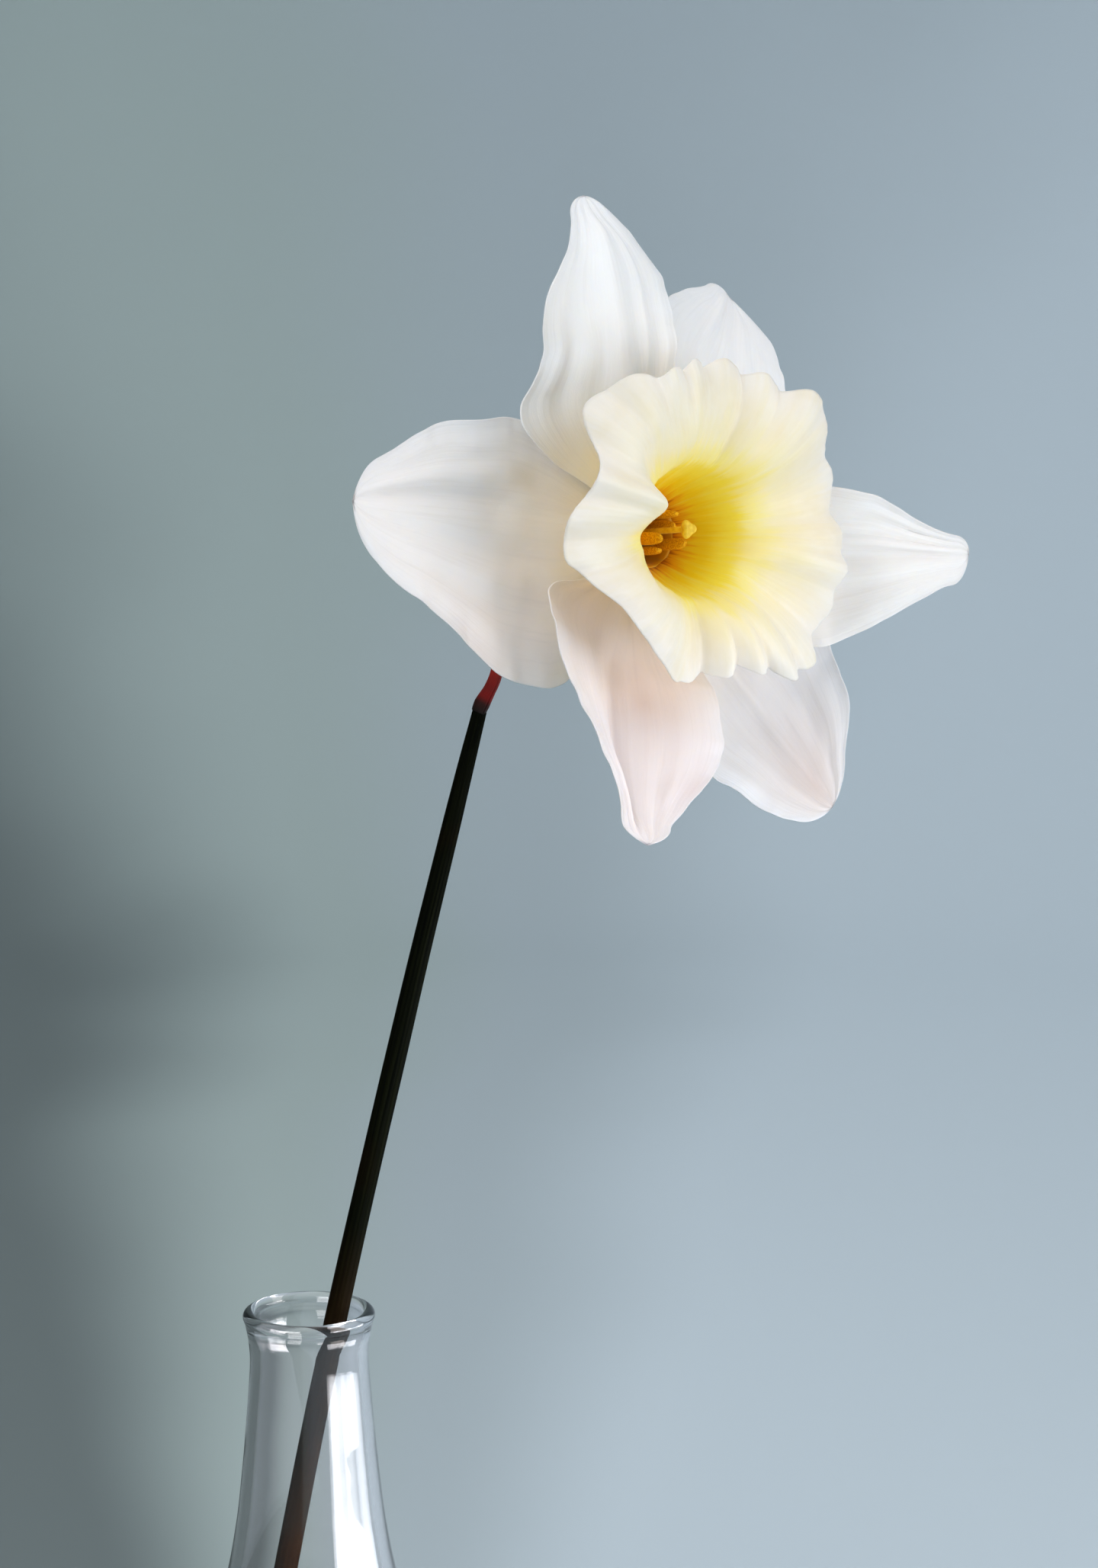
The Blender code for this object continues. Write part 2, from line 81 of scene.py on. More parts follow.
# Each tepal: where it points (degrees, from +X towards up), its length, the slope of its midrib at the foot
# and at the tip (degrees, towards the trumpet's mouth), how its midrib sweeps sideways, how it twists and how
# its margins cup forwards (degrees), how far it is folded along the midrib and how long its round end is.
# left and right are its outlines, as (share of the length, half width). A wave runs along the margins: height
# as a share of the half width, waves, phase. A ridge runs lengthwise: its place across (-1 to 1), half width
# (share of the side), height (negative for a groove), and where it starts and ends. tint is painted shade on
# the whole tepal: its colour's share of a plain tepal's, lower where the tepal lies in shade. Each painted
# shade is a soft patch of painted shade where the tepal lies in shade: place across and along (0 to 1), size,
# tint.
TEPALS = {
    "tepal_inner_top": dict(
        inner=True, azimuth=98.5, length=41.8, slope=(10, -18),
        sweep=-3, twist=12, cup=20, fold=-0.10, end=2.6,
        left=[
            (0, 4), (0.10, 9.5), (0.20, 16), (0.30, 20.5), (0.37, 20.3), (0.44, 16.5), (0.52, 13.5),
            (0.60, 13.8), (0.68, 13.6), (0.75, 11.7), (0.82, 7.9), (0.88, 5.6), (0.94, 4.0), (1, 3.2),
        ],
        right=[
            (0, 3), (0.15, 6), (0.30, 9), (0.45, 10.5), (0.60, 11.3), (0.68, 12.2), (0.75, 12.4),
            (0.82, 10.8), (0.87, 8.5), (0.91, 6.4), (0.95, 4.6), (1, 3.4),
        ],
        wave=(0.10, 1.9, 0.75),
        ridges=[
            (0.02, 0.32, 1.8, 0.15, 0.97), (-0.40, 0.10, 0.6, 0.35, 0.95), (0.62, 0.16, -0.5, 0.25, 0.75),
        ],
        tint=(1.0, 1.0, 1.0),
        painted_shades=[(0.35, 0.20, 0.35, (0.97, 0.92, 0.86))],
    ),
    "tepal_outer_upper_right": dict(
        inner=False, azimuth=47, length=42.0, slope=(-4, -30),
        sweep=2, twist=0, cup=14, fold=0.12, end=3.2,
        left=[
            (0, 4), (0.15, 7), (0.30, 11.5), (0.45, 14.5), (0.58, 15.2), (0.65, 13.8), (0.72, 11.8),
            (0.79, 9.7), (0.87, 6.8), (0.93, 5.2), (1, 4.2),
        ],
        right=[
            (0, 4), (0.15, 8), (0.30, 12.5), (0.45, 15), (0.60, 15.2), (0.70, 13.4), (0.79, 11),
            (0.87, 9.4), (0.93, 8.2), (1, 6),
        ],
        wave=(0.06, 1.4, 0.6),
        ridges=[(0.30, 0.14, 0.5, 0.30, 1.0), (-0.45, 0.14, 0.5, 0.35, 1.0)],
        tint=(0.95, 0.95, 0.96),
        painted_shades=[],
    ),
    "tepal_inner_right": dict(
        inner=True, azimuth=-5, length=47.1, slope=(14, 26),
        sweep=-3, twist=12, cup=30, fold=0.14, end=2.4,
        left=[
            (0, 3.5), (0.15, 5.5), (0.30, 7.6), (0.45, 8.2), (0.60, 7.7), (0.67, 7.5), (0.74, 6.2),
            (0.81, 4.5), (0.87, 3.4), (0.93, 2.7), (1, 2.4),
        ],
        right=[
            (0, 4), (0.15, 8), (0.30, 12.5), (0.42, 14.8), (0.51, 14.7), (0.59, 13.2), (0.66, 11.7),
            (0.74, 9.7), (0.81, 7.7), (0.87, 6.1), (0.93, 4.8), (1, 4.2),
        ],
        wave=(0.05, 1.5, 0.4),
        ridges=[(0.10, 0.09, 0.7, 0.40, 1.0), (-0.12, 0.09, -0.6, 0.40, 0.97)],
        tint=(0.98, 0.95, 0.93),
        painted_shades=[],
    ),
    "tepal_outer_lower_right": dict(
        inner=False, azimuth=-53, length=46.4, slope=(-2, 18),
        sweep=0, twist=-10, cup=22, fold=0.10, end=3.2,
        left=[
            (0, 4), (0.15, 7), (0.30, 11), (0.45, 14.5), (0.58, 16.2), (0.66, 16), (0.74, 14.5),
            (0.81, 12.5), (0.87, 10), (0.93, 6.8), (1, 4.6),
        ],
        right=[
            (0, 4), (0.15, 7.5), (0.30, 12), (0.45, 15.2), (0.58, 15.8), (0.66, 14.2), (0.74, 12.6),
            (0.81, 11.4), (0.88, 9.4), (0.94, 7), (1, 5),
        ],
        wave=(0.06, 1.3, 0.1),
        ridges=[(0.05, 0.10, 0.7, 0.30, 1.0), (0.48, 0.14, -0.5, 0.30, 0.9)],
        tint=(0.78, 0.77, 0.785),
        painted_shades=[
            (0.5, 0.9, 0.55, (0.80, 0.72, 0.68)),
            (1.0, 0.55, 0.45, (0.84, 0.85, 0.87)),
        ],
    ),
    "tepal_inner_bottom": dict(
        inner=True, azimuth=-114.5, length=43.7, slope=(9, 45),
        sweep=4, twist=8, cup=26, fold=0.15, end=2.4,
        left=[
            (0, 4), (0.15, 7.5), (0.30, 12.5), (0.44, 15.2), (0.56, 15.6), (0.67, 14.3), (0.75, 11.5),
            (0.81, 8.8), (0.87, 6.6), (0.93, 4.4), (1, 3.4),
        ],
        right=[
            (0, 4), (0.07, 5.5), (0.14, 10), (0.21, 15.6), (0.28, 17.2), (0.36, 15.8), (0.44, 13.5),
            (0.52, 11.0), (0.59, 9.2), (0.67, 7.0), (0.745, 4.2), (0.81, 2.8), (0.87, 3.0), (0.93, 3.7),
            (1, 3.6),
        ],
        wave=(0.07, 1.6, 0.7),
        ridges=[
            (-0.05, 0.16, -1.3, 0.20, 0.98), (-0.50, 0.16, 0.9, 0.25, 0.95), (0.55, 0.14, 0.7, 0.30, 0.9),
        ],
        tint=(0.89, 0.82, 0.83),
        painted_shades=[
            (0.60, 0.45, 0.40, (0.78, 0.71, 0.66)),
            (0.9, 0.75, 0.35, (0.92, 0.85, 0.85)),
        ],
    ),
    "tepal_outer_left": dict(
        inner=False, azimuth=173, length=40.4, slope=(-5, -6),
        sweep=-2, twist=0, cup=12, fold=0.03, end=3.2,
        left=[
            (0, 7), (0.07, 15), (0.14, 20.3), (0.21, 21.8), (0.29, 21.6), (0.37, 21.1), (0.44, 20),
            (0.52, 18.1), (0.60, 16), (0.67, 14.1), (0.75, 12.2), (0.82, 10.6), (0.88, 8.8),
            (0.94, 6.6), (1, 4.8),
        ],
        right=[
            (0, 4), (0.12, 7.5), (0.25, 11), (0.37, 13), (0.45, 13.4), (0.52, 13.1), (0.60, 12.7),
            (0.67, 12), (0.75, 10.5), (0.82, 8.8), (0.88, 7.2), (0.94, 5.6), (1, 4.5),
        ],
        wave=(0.04, 1.2, 0.3),
        ridges=[(-0.45, 0.12, 0.8, 0.30, 0.98), (-0.20, 0.10, -0.6, 0.30, 0.95)],
        tint=(0.92, 0.89, 0.88),
        painted_shades=[(0.95, 0.50, 0.50, (0.93, 0.84, 0.82))],
    ),
}
TEPAL_ROWS, TEPAL_COLUMNS = 150, 96
TEPAL_HALF = 0.27  # half its thickness
VEINS = 11  # on each side of the midrib

# Corona: (radius, height) from its foot to its rim
CORONA_PROFILE = [
    (4.9, 1.4), (5.5, 2.9), (7.0, 5.6), (8.4, 9.0), (9.8, 12.4), (12.4, 15.2), (16.0, 16.9),
    (19.5, 17.2), (21.9, 16.6),
]
FOLDS, FOLD_HEIGHT = 6, 2.1
RIBS, RIB_HEIGHT = 23, 1.1
CORONA_ROWS, CORONA_SEGMENTS = 84, 560
CORONA_HALF = (0.30, 0.14)  # half its thickness at the foot and at the rim
# How far the rim reaches beyond its round outline: (degrees, mm)
RIM_REACH = [
    (0, 0.8), (15, 2.0), (28, 0.8), (42, 3.4), (56, 0.8), (75, 0), (93, 0), (108, 1.6), (117, 1.5),
    (126, 3.5), (142, 4.5), (155, 1.5), (172, 3.5), (186, 2.5), (197, 0), (240, -0.3), (251, -1.8),
    (262, -2.6), (273, -2.6), (286, -1.2), (300, 1.8), (312, 3.8), (325, 2.2), (342, 1.0),
]
# How far the rim bends forwards there: (degrees, mm)
RIM_BEND = [
    (0, 0), (42, -0.5), (90, 0), (126, 1.0), (142, -1.5), (157, 0.5), (175, -1.8), (197, 0), (240, 0.5),
    (312, -0.5),
]
# Single folds among the even ones: angle and half width (degrees), place along the profile, how far they
# rise forwards and how far they lean outwards
LOBES = [
    (137, 13, 0.82, 3.4, -0.8), (116, 6, 0.78, -2.2, 0), (156, 5, 0.88, -1.6, -0.5),
    (161, 9, 0.66, 1.3, -1.7), (182, 8, 0.62, -0.5, 1.0), (212, 14, 0.55, -0.7, 1.0),
    (236, 10, 0.66, 0.2, -0.2), (254, 7, 0.85, -1.2, 0),
]

# (radius, height) of the vase, from the edge of the flat foot up the outside to the lip
VASE_OUTSIDE = [
    (23.4, 1.6), (26.8, 10), (29.2, 22), (29.3, 34), (27.0, 46), (22.4, 57), (17.3, 67), (13.6, 76),
    (11.5, 86), (10.3, 96), (9.4, 106), (9.0, 112), (9.2, 115.5),
]
VASE_FLOOR = 5.0
VASE_WALL_NECK, VASE_WALL_BODY = 1.5, 2.0
VASE_THINNING = (70, 100)  # heights between which its wall gets thinner
LIP_RADIUS, LIP_HALF = 9.0, 1.0
CORNER_WIDTH = 2.4  # of the round corner between the wall and the floor inside


# Numbers


def smooth_line(points, per_span):
    """Catmull-Rom curve through the points, per_span steps to a span, as an array of rows."""
    p = np.array(points, float)
    p = np.vstack([2 * p[0] - p[1], p, 2 * p[-1] - p[-2]])
    rows = []
    for i in range(1, len(p) - 2):
        for t in np.arange(per_span) / per_span:
            a, b, c, d = p[i - 1 : i + 3]
            square = (2 * a - 5 * b + 4 * c - d) * t**2
            cube = (3 * b - a - 3 * c + d) * t**3
            rows.append(0.5 * (2 * b + (c - a) * t + square + cube))
    rows.append(p[-2])
    return np.array(rows)


def smooth_step(t):
    t = np.clip(t, 0, 1)
    return t * t * (3 - 2 * t)


def unit(vectors):
    return vectors / np.maximum(np.linalg.norm(vectors, axis=-1, keepdims=True), 1e-12)


def soft_noise(x, y, seed, around=64):
    """Smooth random field from -1 to 1 with unit cells. It repeats in x after this many cells."""
    rows = 64
    table = np.random.default_rng(seed).uniform(-1, 1, (around, rows))
    column, row = np.floor(x).astype(int), np.floor(y).astype(int)
    tx, ty = smooth_step(x - column), smooth_step(y - row)

    def along_row(r):
        return table[column % around, r % rows] * (1 - tx) + table[(column + 1) % around, r % rows] * tx

    return along_row(row) * (1 - ty) + along_row(row + 1) * ty


def along_line(line):
    """How far along a line each of its points is."""
    return np.concatenate([[0], np.cumsum(np.linalg.norm(np.diff(line, axis=0), axis=1))])


# Meshes


def add_piece(name, vertices, quads, corners, look, nodes):
    """Closed mesh in metres from vertices in mm, with the map "along" for its material."""
    quads = np.array(quads)
    a, b, c, d = (vertices[quads[:, k]] for k in range(4))
    volume = (np.cross(b - a, c - a) * a).sum() + (np.cross(c - a, d - a) * a).sum()
    if volume < 0:  # the faces point inwards
        quads, corners = quads[:, ::-1], corners[:, ::-1]
    mesh = bpy.data.meshes.new(name)
    mesh.from_pydata((vertices * MM).tolist(), [], quads.tolist())
    layer = mesh.uv_layers.new(name="along")
    layer.data.foreach_set("uv", np.ascontiguousarray(corners, dtype=np.float32).ravel())
    mesh.shade_smooth()
    mesh.materials.append(look)
    obj = bpy.data.objects.new(name, mesh)
    bpy.context.scene.collection.objects.link(obj)
    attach(obj, "root")
    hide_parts(*nodes)


def grid_quads(rows, columns, wrapped):
    """Quads of a grid, and the place of each corner on it as shares of its width and of its length."""
    last = columns if wrapped else columns - 1
    i, j = (part.ravel() for part in np.meshgrid(np.arange(rows - 1), np.arange(last), indexing="ij"))
    steps = [(0, 0), (0, 1), (1, 1), (1, 0)]
    quads = np.stack([(i + di) * columns + (j + dj) % columns for di, dj in steps], axis=1)
    places = [np.stack([(j + dj) / last, (i + di) / (rows - 1)], axis=1) for di, dj in steps]
    return quads, np.stack(places, axis=1)


def edge_quads(first, second, shift, corner_of):
    """Quads that join two neighbouring lines of vertices of a grid to the same lines of its other face."""
    quads = np.stack([first, second, second + shift, first + shift], axis=1)
    corners = np.stack([corner_of[first], corner_of[second], corner_of[second], corner_of[first]], axis=1)
    return quads, corners


def grid_normals(grid, wrapped):
    if wrapped:
        across = np.roll(grid, -1, axis=1) - np.roll(grid, 1, axis=1)
    else:
        across = np.gradient(grid, axis=1)
    return unit(np.cross(np.gradient(grid, axis=0), across))


def shell(name, grid, half, look, nodes, wrapped=False, s=None):
    """Closed sheet round a grid of points, this far to either side of it. s gives each row's share of the
    length for the map, where the rows aren't evenly spaced."""
    rows, columns = grid.shape[:2]
    normals = grid_normals(grid, wrapped)
    half = np.broadcast_to(half, grid.shape[:2])[..., None]
    vertices = np.vstack([(grid + normals * half).reshape(-1, 3), (grid - normals * half).reshape(-1, 3)])
    quads, corners = grid_quads(rows, columns, wrapped)
    index = np.arange(rows * columns).reshape(rows, columns)
    shares = np.meshgrid(np.linspace(0, 1, columns), np.linspace(0, 1, rows))
    places = np.stack(shares, axis=-1).reshape(-1, 2)
    count = rows * columns
    parts = [(quads, corners), (quads[:, ::-1] + count, corners[:, ::-1])]
    for line in (index[0], index[-1][::-1]):
        if wrapped:
            line = np.append(line, line[0])
        parts.append(edge_quads(line[1:], line[:-1], count, places))
    if not wrapped:
        for line in (index[:, -1], index[:, 0][::-1]):
            parts.append(edge_quads(line[1:], line[:-1], count, places))
    quads = np.vstack([part[0] for part in parts])
    corners = np.vstack([part[1] for part in parts])
    if s is not None:
        corners[..., 1] = np.interp(corners[..., 1], np.linspace(0, 1, rows), s)
    add_piece(name, vertices, quads, corners, look, nodes)


def capped(name, rings, look, nodes):
    """Closed mesh from rings of points, each end closed on its ring's centre."""
    count, segments = rings.shape[:2]
    middle = [np.repeat(rings[k].mean(axis=0)[None], segments, axis=0)[None] for k in (0, -1)]
    grid = np.vstack([middle[0], rings, middle[1]])
    quads, corners = grid_quads(count + 2, segments, True)
    add_piece(name, grid.reshape(-1, 3), quads, corners, look, nodes)


def turned(name, profile, look, nodes, segments=160, lobes=(0, 0.0), place=None):
    """Mesh turned about Z from (radius, height) rows. lobes: how many, and their depth as a share."""
    a = np.linspace(0, 2 * math.pi, segments, endpoint=False)[None, :]
    radius = profile[:, :1] * (1 + lobes[1] * np.cos(lobes[0] * a))
    height = np.repeat(profile[:, 1:], segments, axis=1)
    rings = np.stack([radius * np.cos(a), radius * np.sin(a), height], axis=-1)
    if place is not None:
        rings = moved(rings, place)
    capped(name, rings, look, nodes)


def moved(points, matrix):
    """Points in mm, moved by a matrix in metres."""
    m = np.array(matrix)
    return points @ m[:3, :3].T + m[:3, 3] / MM


def sweep(name, points, radii, look, nodes, segments=32, steps=12, section=None):
    """Rod along a smooth line through the points, with a radius for each. section(share, angle) gives the
    cross-section's radius as a share of it."""
    line = smooth_line(points, steps)
    radius = np.interp(np.arange(len(line)) / steps, range(len(radii)), radii)
    ahead = unit(np.gradient(line, axis=0))
    side = unit(np.cross(ahead[0], [0.3, 0.5, 0.8]))
    share = np.linspace(0, 1, len(line))
    a = np.linspace(0, 2 * math.pi, segments, endpoint=False)
    rings = np.zeros((len(line), segments, 3))
    for k in range(len(line)):
        side = unit(side - ahead[k] * side.dot(ahead[k]))
        other = np.cross(ahead[k], side)
        r = radius[k] * (section(share[k], a) if section else 1.0) * np.ones(segments)
        rings[k] = line[k] + np.outer(r * np.cos(a), side) + np.outer(r * np.sin(a), other)
    capped(name, rings, look, nodes)


# Materials


def new_look(name, **sockets):
    look = bpy.data.materials.new(name)
    look.use_nodes = True
    shader = look.node_tree.nodes["Principled BSDF"]
    for socket, value in sockets.items():
        shader.inputs[socket.replace("_", " ")].default_value = value
    return look, look.node_tree, shader


def add_node(tree, kind, inputs=None, **settings):
    made = tree.nodes.new(kind)
    for key, value in settings.items():
        setattr(made, key, value)
    for key, value in (inputs or {}).items():
        if isinstance(value, bpy.types.NodeSocket):
            tree.links.new(value, made.inputs[key])
        else:
            made.inputs[key].default_value = value
    return made


def along_map(tree, across=1.0, along=1.0):
    """The piece's own map, stretched: its x runs across the piece and its y along it."""
    uv = add_node(tree, "ShaderNodeUVMap", uv_map="along")
    inputs = {"Vector": uv.outputs[0], "Scale": (across, along, 1)}
    return add_node(tree, "ShaderNodeMapping", inputs).outputs[0]


def object_place(tree):
    return add_node(tree, "ShaderNodeTexCoord").outputs["Object"]


def noise(tree, vector, scale, detail=3.0, rough=0.5):
    inputs = {"Vector": vector, "Scale": scale, "Detail": detail, "Roughness": rough}
    return add_node(tree, "ShaderNodeTexNoise", inputs).outputs["Fac"]


def mapped(tree, value, low, high, out_low, out_high):
    inputs = {"Value": value, "From Min": low, "From Max": high, "To Min": out_low, "To Max": out_high}
    return add_node(tree, "ShaderNodeMapRange", inputs).outputs[0]


def ramp(tree, value, stops):
    made = add_node(tree, "ShaderNodeValToRGB", {"Fac": value})
    made.color_ramp.interpolation = "EASE"
    elements = made.color_ramp.elements
    while len(elements) < len(stops):
        elements.new(0.5)
    for element, (position, colour) in zip(elements, stops):
        element.position = position
        element.color = (*colour, 1)
    return made.outputs["Color"]


def maths(tree, operation, a, b):
    return add_node(tree, "ShaderNodeMath", {0: a, 1: b}, operation=operation).outputs[0]


def mixed(tree, a, b, share, blend="MIX"):
    made = add_node(tree, "ShaderNodeMix", data_type="RGBA", blend_type=blend)
    for key, value in (("Factor", share), ("A", a), ("B", b)):
        socket = next(s for s in made.inputs if s.name == key and s.enabled)
        if isinstance(value, bpy.types.NodeSocket):
            tree.links.new(value, socket)
        else:
            socket.default_value = value
    return next(s for s in made.outputs if s.enabled)


def laid_over(tree, under, colour, value, start, full, most=1.0):
    """A colour over another one: none of it where value is start, and this share of it where it is full."""
    return mixed(tree, under, (*colour, 1), mapped(tree, value, start, full, 0.0, most))


def bump(tree, shader, height, strength, distance):
    inputs = {"Height": height, "Strength": strength, "Distance": distance * MM}
    tree.links.new(add_node(tree, "ShaderNodeBump", inputs).outputs[0], shader.inputs["Normal"])


def set_input(tree, shader, socket, value):
    tree.links.new(value, shader.inputs[socket])


def along_share(tree):
    """How far along the piece a point is, from 0 at its foot to 1 at its end."""
    return add_node(tree, "ShaderNodeSeparateXYZ", {0: along_map(tree)}).outputs["Y"]


def petal_shader(name, scatter, depth):
    """Soft tissue that lets light through: scatter is its share and depth (mm) how far the light goes."""
    return new_look(
        name,
        Roughness=0.52,
        Specular_IOR_Level=0.32,
        Subsurface_Weight=scatter,
        Subsurface_Scale=depth * MM,
        Subsurface_Radius=(1.0, 0.86, 0.68),
        Sheen_Weight=0.08,
        Sheen_Roughness=0.4,
    )


def tepal_look(name, tint, painted_shades):
    """White, green-yellow at the foot, with faint veins and clouds, and painted shade: a tint over the whole
    tepal and soft darker patches.
    """
    look, tree, shader = petal_shader(name, 0.7, 0.9)
    clouds = noise(tree, object_place(tree), 90.0, 3.0)
    uneven = maths(tree, "ADD", along_share(tree), mapped(tree, clouds, 0.3, 0.7, -0.05, 0.05))
    stops = [
        (0.00, (0.60, 0.52, 0.20)),
        (0.12, (0.91, 0.85, 0.72)),
        (0.30, (0.94, 0.90, 0.85)),
        (0.60, (0.95, 0.94, 0.94)),
        (1.00, (0.95, 0.91, 0.90)),
    ]
    veins = noise(tree, along_map(tree, 46.0, 2.2), 1.0, 3.0, 0.6)
    colour = laid_over(tree, ramp(tree, uneven, stops), (0.80, 0.77, 0.74), veins, 0.52, 0.72, 0.28)
    colour = laid_over(tree, colour, (0.86, 0.87, 0.90), clouds, 0.45, 0.75, 0.25)
    # painted shade: the tepal's tint darkens the whole tepal as far as it lies in shade
    colour = mixed(tree, colour, (*tint, 1), 1.0, "MULTIPLY")
    # painted shade: soft darker patches where the tepal lies in shade
    for across, along, size, shade in painted_shades:
        inputs = {0: along_map(tree), 1: (across, along, 0)}
        away = add_node(tree, "ShaderNodeVectorMath", inputs, operation="DISTANCE").outputs["Value"]
        share = mapped(tree, away, 0.0, size, 1.0, 0.0)
        colour = mixed(tree, colour, (*shade, 1), maths(tree, "MULTIPLY", share, share), "MULTIPLY")
    set_input(tree, shader, "Base Color", colour)
    cells = noise(tree, object_place(tree), 2600.0, 2.0)
    set_input(tree, shader, "Roughness", mapped(tree, cells, 0.3, 0.7, 0.44, 0.62))
    relief = maths(tree, "ADD", maths(tree, "MULTIPLY", veins, 1.6), maths(tree, "MULTIPLY", cells, 0.35))
    bump(tree, shader, relief, 0.35, 0.10)
    return look


def corona_look():
    """Orange and yellow in the throat, cream towards the rim, with pale patches of painted light and beige
    patches of painted shade there.
    """
    look, tree, shader = petal_shader("corona", 0.8, 1.5)
    v = along_share(tree)
    ribs = noise(tree, along_map(tree, 75.0, 1.6), 1.0, 3.0, 0.6)
    patches = noise(tree, object_place(tree), 120.0, 3.0)
    uneven = maths(tree, "ADD", v, mapped(tree, ribs, 0.3, 0.7, -0.07, 0.07))
    stops = [
        (0.00, (0.50, 0.15, 0.002)),
        (0.07, (0.93, 0.46, 0.003)),
        (0.17, (0.99, 0.66, 0.010)),
        (0.36, (0.99, 0.75, 0.08)),
        (0.51, (0.96, 0.77, 0.31)),
        (0.65, (0.94, 0.78, 0.52)),
        (0.80, (0.94, 0.79, 0.61)),
        (1.00, (0.95, 0.82, 0.71)),
    ]
    outer = mapped(tree, v, 0.35, 0.7, 0.0, 1.0)
    # painted light: pale patches towards the rim
    pale = maths(tree, "MULTIPLY", mapped(tree, patches, 0.5, 0.75, 0.0, 0.35), outer)
    colour = mixed(tree, ramp(tree, uneven, stops), (0.97, 0.90, 0.80, 1), pale)
    # painted shade: beige patches towards the rim
    rim = mapped(tree, v, 0.5, 0.8, 0.0, 1.0)
    painted_beige_shade = maths(tree, "MULTIPLY", mapped(tree, patches, 0.48, 0.28, 0.0, 0.45), rim)
    colour = mixed(tree, colour, (0.84, 0.68, 0.46, 1), painted_beige_shade)
    colour = laid_over(tree, colour, (0.86, 0.66, 0.26), ribs, 0.55, 0.75, 0.22)
    set_input(tree, shader, "Base Color", colour)
    cells = noise(tree, object_place(tree), 2400.0, 2.0)
    set_input(tree, shader, "Roughness", mapped(tree, cells, 0.3, 0.7, 0.42, 0.60))
    relief = maths(tree, "ADD", maths(tree, "MULTIPLY", ribs, 1.4), maths(tree, "MULTIPLY", cells, 0.4))
    bump(tree, shader, relief, 0.35, 0.10)
    return look


def stem_look():
    """Painted shade: a green stem painted almost black, as dark as it looks in shade. Dark brown in its lower
    part.
    """
    look, tree, shader = new_look("stem", Specular_IOR_Level=0.015)
    fibres = noise(tree, along_map(tree, 30.0, 9.0), 1.0, 4.0, 0.6)
    patches = noise(tree, object_place(tree), 60.0, 4.0)
    # painted shade: the green stem's colour darkened to almost black
    dark = laid_over(tree, (0.0012, 0.0016, 0.0010, 1), (0.0050, 0.0060, 0.0020), fibres, 0.4, 0.75)
    worn = laid_over(tree, dark, (0.0070, 0.0036, 0.0012), patches, 0.55, 0.75, 0.7)
    high = mapped(tree, along_share(tree), 0.30, 0.55, 0.0, 1.0)
    set_input(tree, shader, "Base Color", mixed(tree, (0.030, 0.012, 0.004, 1), worn, high))
    set_input(tree, shader, "Roughness", mapped(tree, patches, 0.3, 0.7, 0.55, 0.75))
    bump(tree, shader, fibres, 0.4, 0.15)
    return look


def stalk_look():
    look, tree, shader = new_look(
        "stalk", Roughness=0.5, Specular_IOR_Level=0.3, Subsurface_Weight=0.1, Subsurface_Scale=0.5 * MM
    )
    fibres = noise(tree, along_map(tree, 24.0, 6.0), 1.0, 4.0, 0.6)
    stops = [(0.0, (0.07, 0.035, 0.012)), (0.4, (0.10, 0.11, 0.03)), (1.0, (0.16, 0.21, 0.05))]
    along = ramp(tree, along_share(tree), stops)
    set_input(tree, shader, "Base Color", laid_over(tree, along, (0.05, 0.06, 0.015), fibres, 0.5, 0.8, 0.7))
    bump(tree, shader, fibres, 0.4, 0.12)
    return look


def spathe_look():
    """Papery and red, black at its foot, and brown where it has dried."""
    look, tree, shader = new_look(
        "spathe",
        Roughness=0.62,
        Specular_IOR_Level=0.15,
        Subsurface_Weight=0.25,
        Subsurface_Scale=0.6 * MM,
        Subsurface_Radius=(1.0, 0.25, 0.12),
    )
    v = along_share(tree)
    fibres = noise(tree, along_map(tree, 34.0, 3.0), 1.0, 4.0, 0.65)
    patches = noise(tree, object_place(tree), 260.0, 3.0)
    stops = [
        (0.0, (0.006, 0.003, 0.002)),
        (0.06, (0.020, 0.003, 0.002)),
        (0.12, (0.17, 0.004, 0.003)),
        (0.4, (0.30, 0.020, 0.012)),
        (1.0, (0.36, 0.09, 0.035)),
    ]
    high = mapped(tree, v, 0.2, 0.6, 0.0, 1.0)
    dried = maths(tree, "MULTIPLY", mapped(tree, fibres, 0.5, 0.8, 0.0, 0.35), high)
    colour = mixed(tree, ramp(tree, v, stops), (0.42, 0.22, 0.10, 1), dried)
    colour = laid_over(tree, colour, (0.06, 0.010, 0.006), patches, 0.5, 0.8, 0.7)
    set_input(tree, shader, "Base Color", colour)
    bump(tree, shader, fibres, 0.6, 0.2)
    return look


def ovary_look():
    look, tree, shader = new_look(
        "ovary", Roughness=0.42, Specular_IOR_Level=0.4, Subsurface_Weight=0.15, Subsurface_Scale=0.8 * MM
    )
    spots = noise(tree, object_place(tree), 900.0, 2.0)
    patches = noise(tree, object_place(tree), 160.0, 3.0)
    green = laid_over(tree, (0.060, 0.110, 0.020, 1), (0.13, 0.20, 0.05), patches, 0.3, 0.7)
    set_input(tree, shader, "Base Color", laid_over(tree, green, (0.20, 0.26, 0.09), spots, 0.55, 0.7, 0.6))
    bump(tree, shader, spots, 0.2, 0.1)
    return look


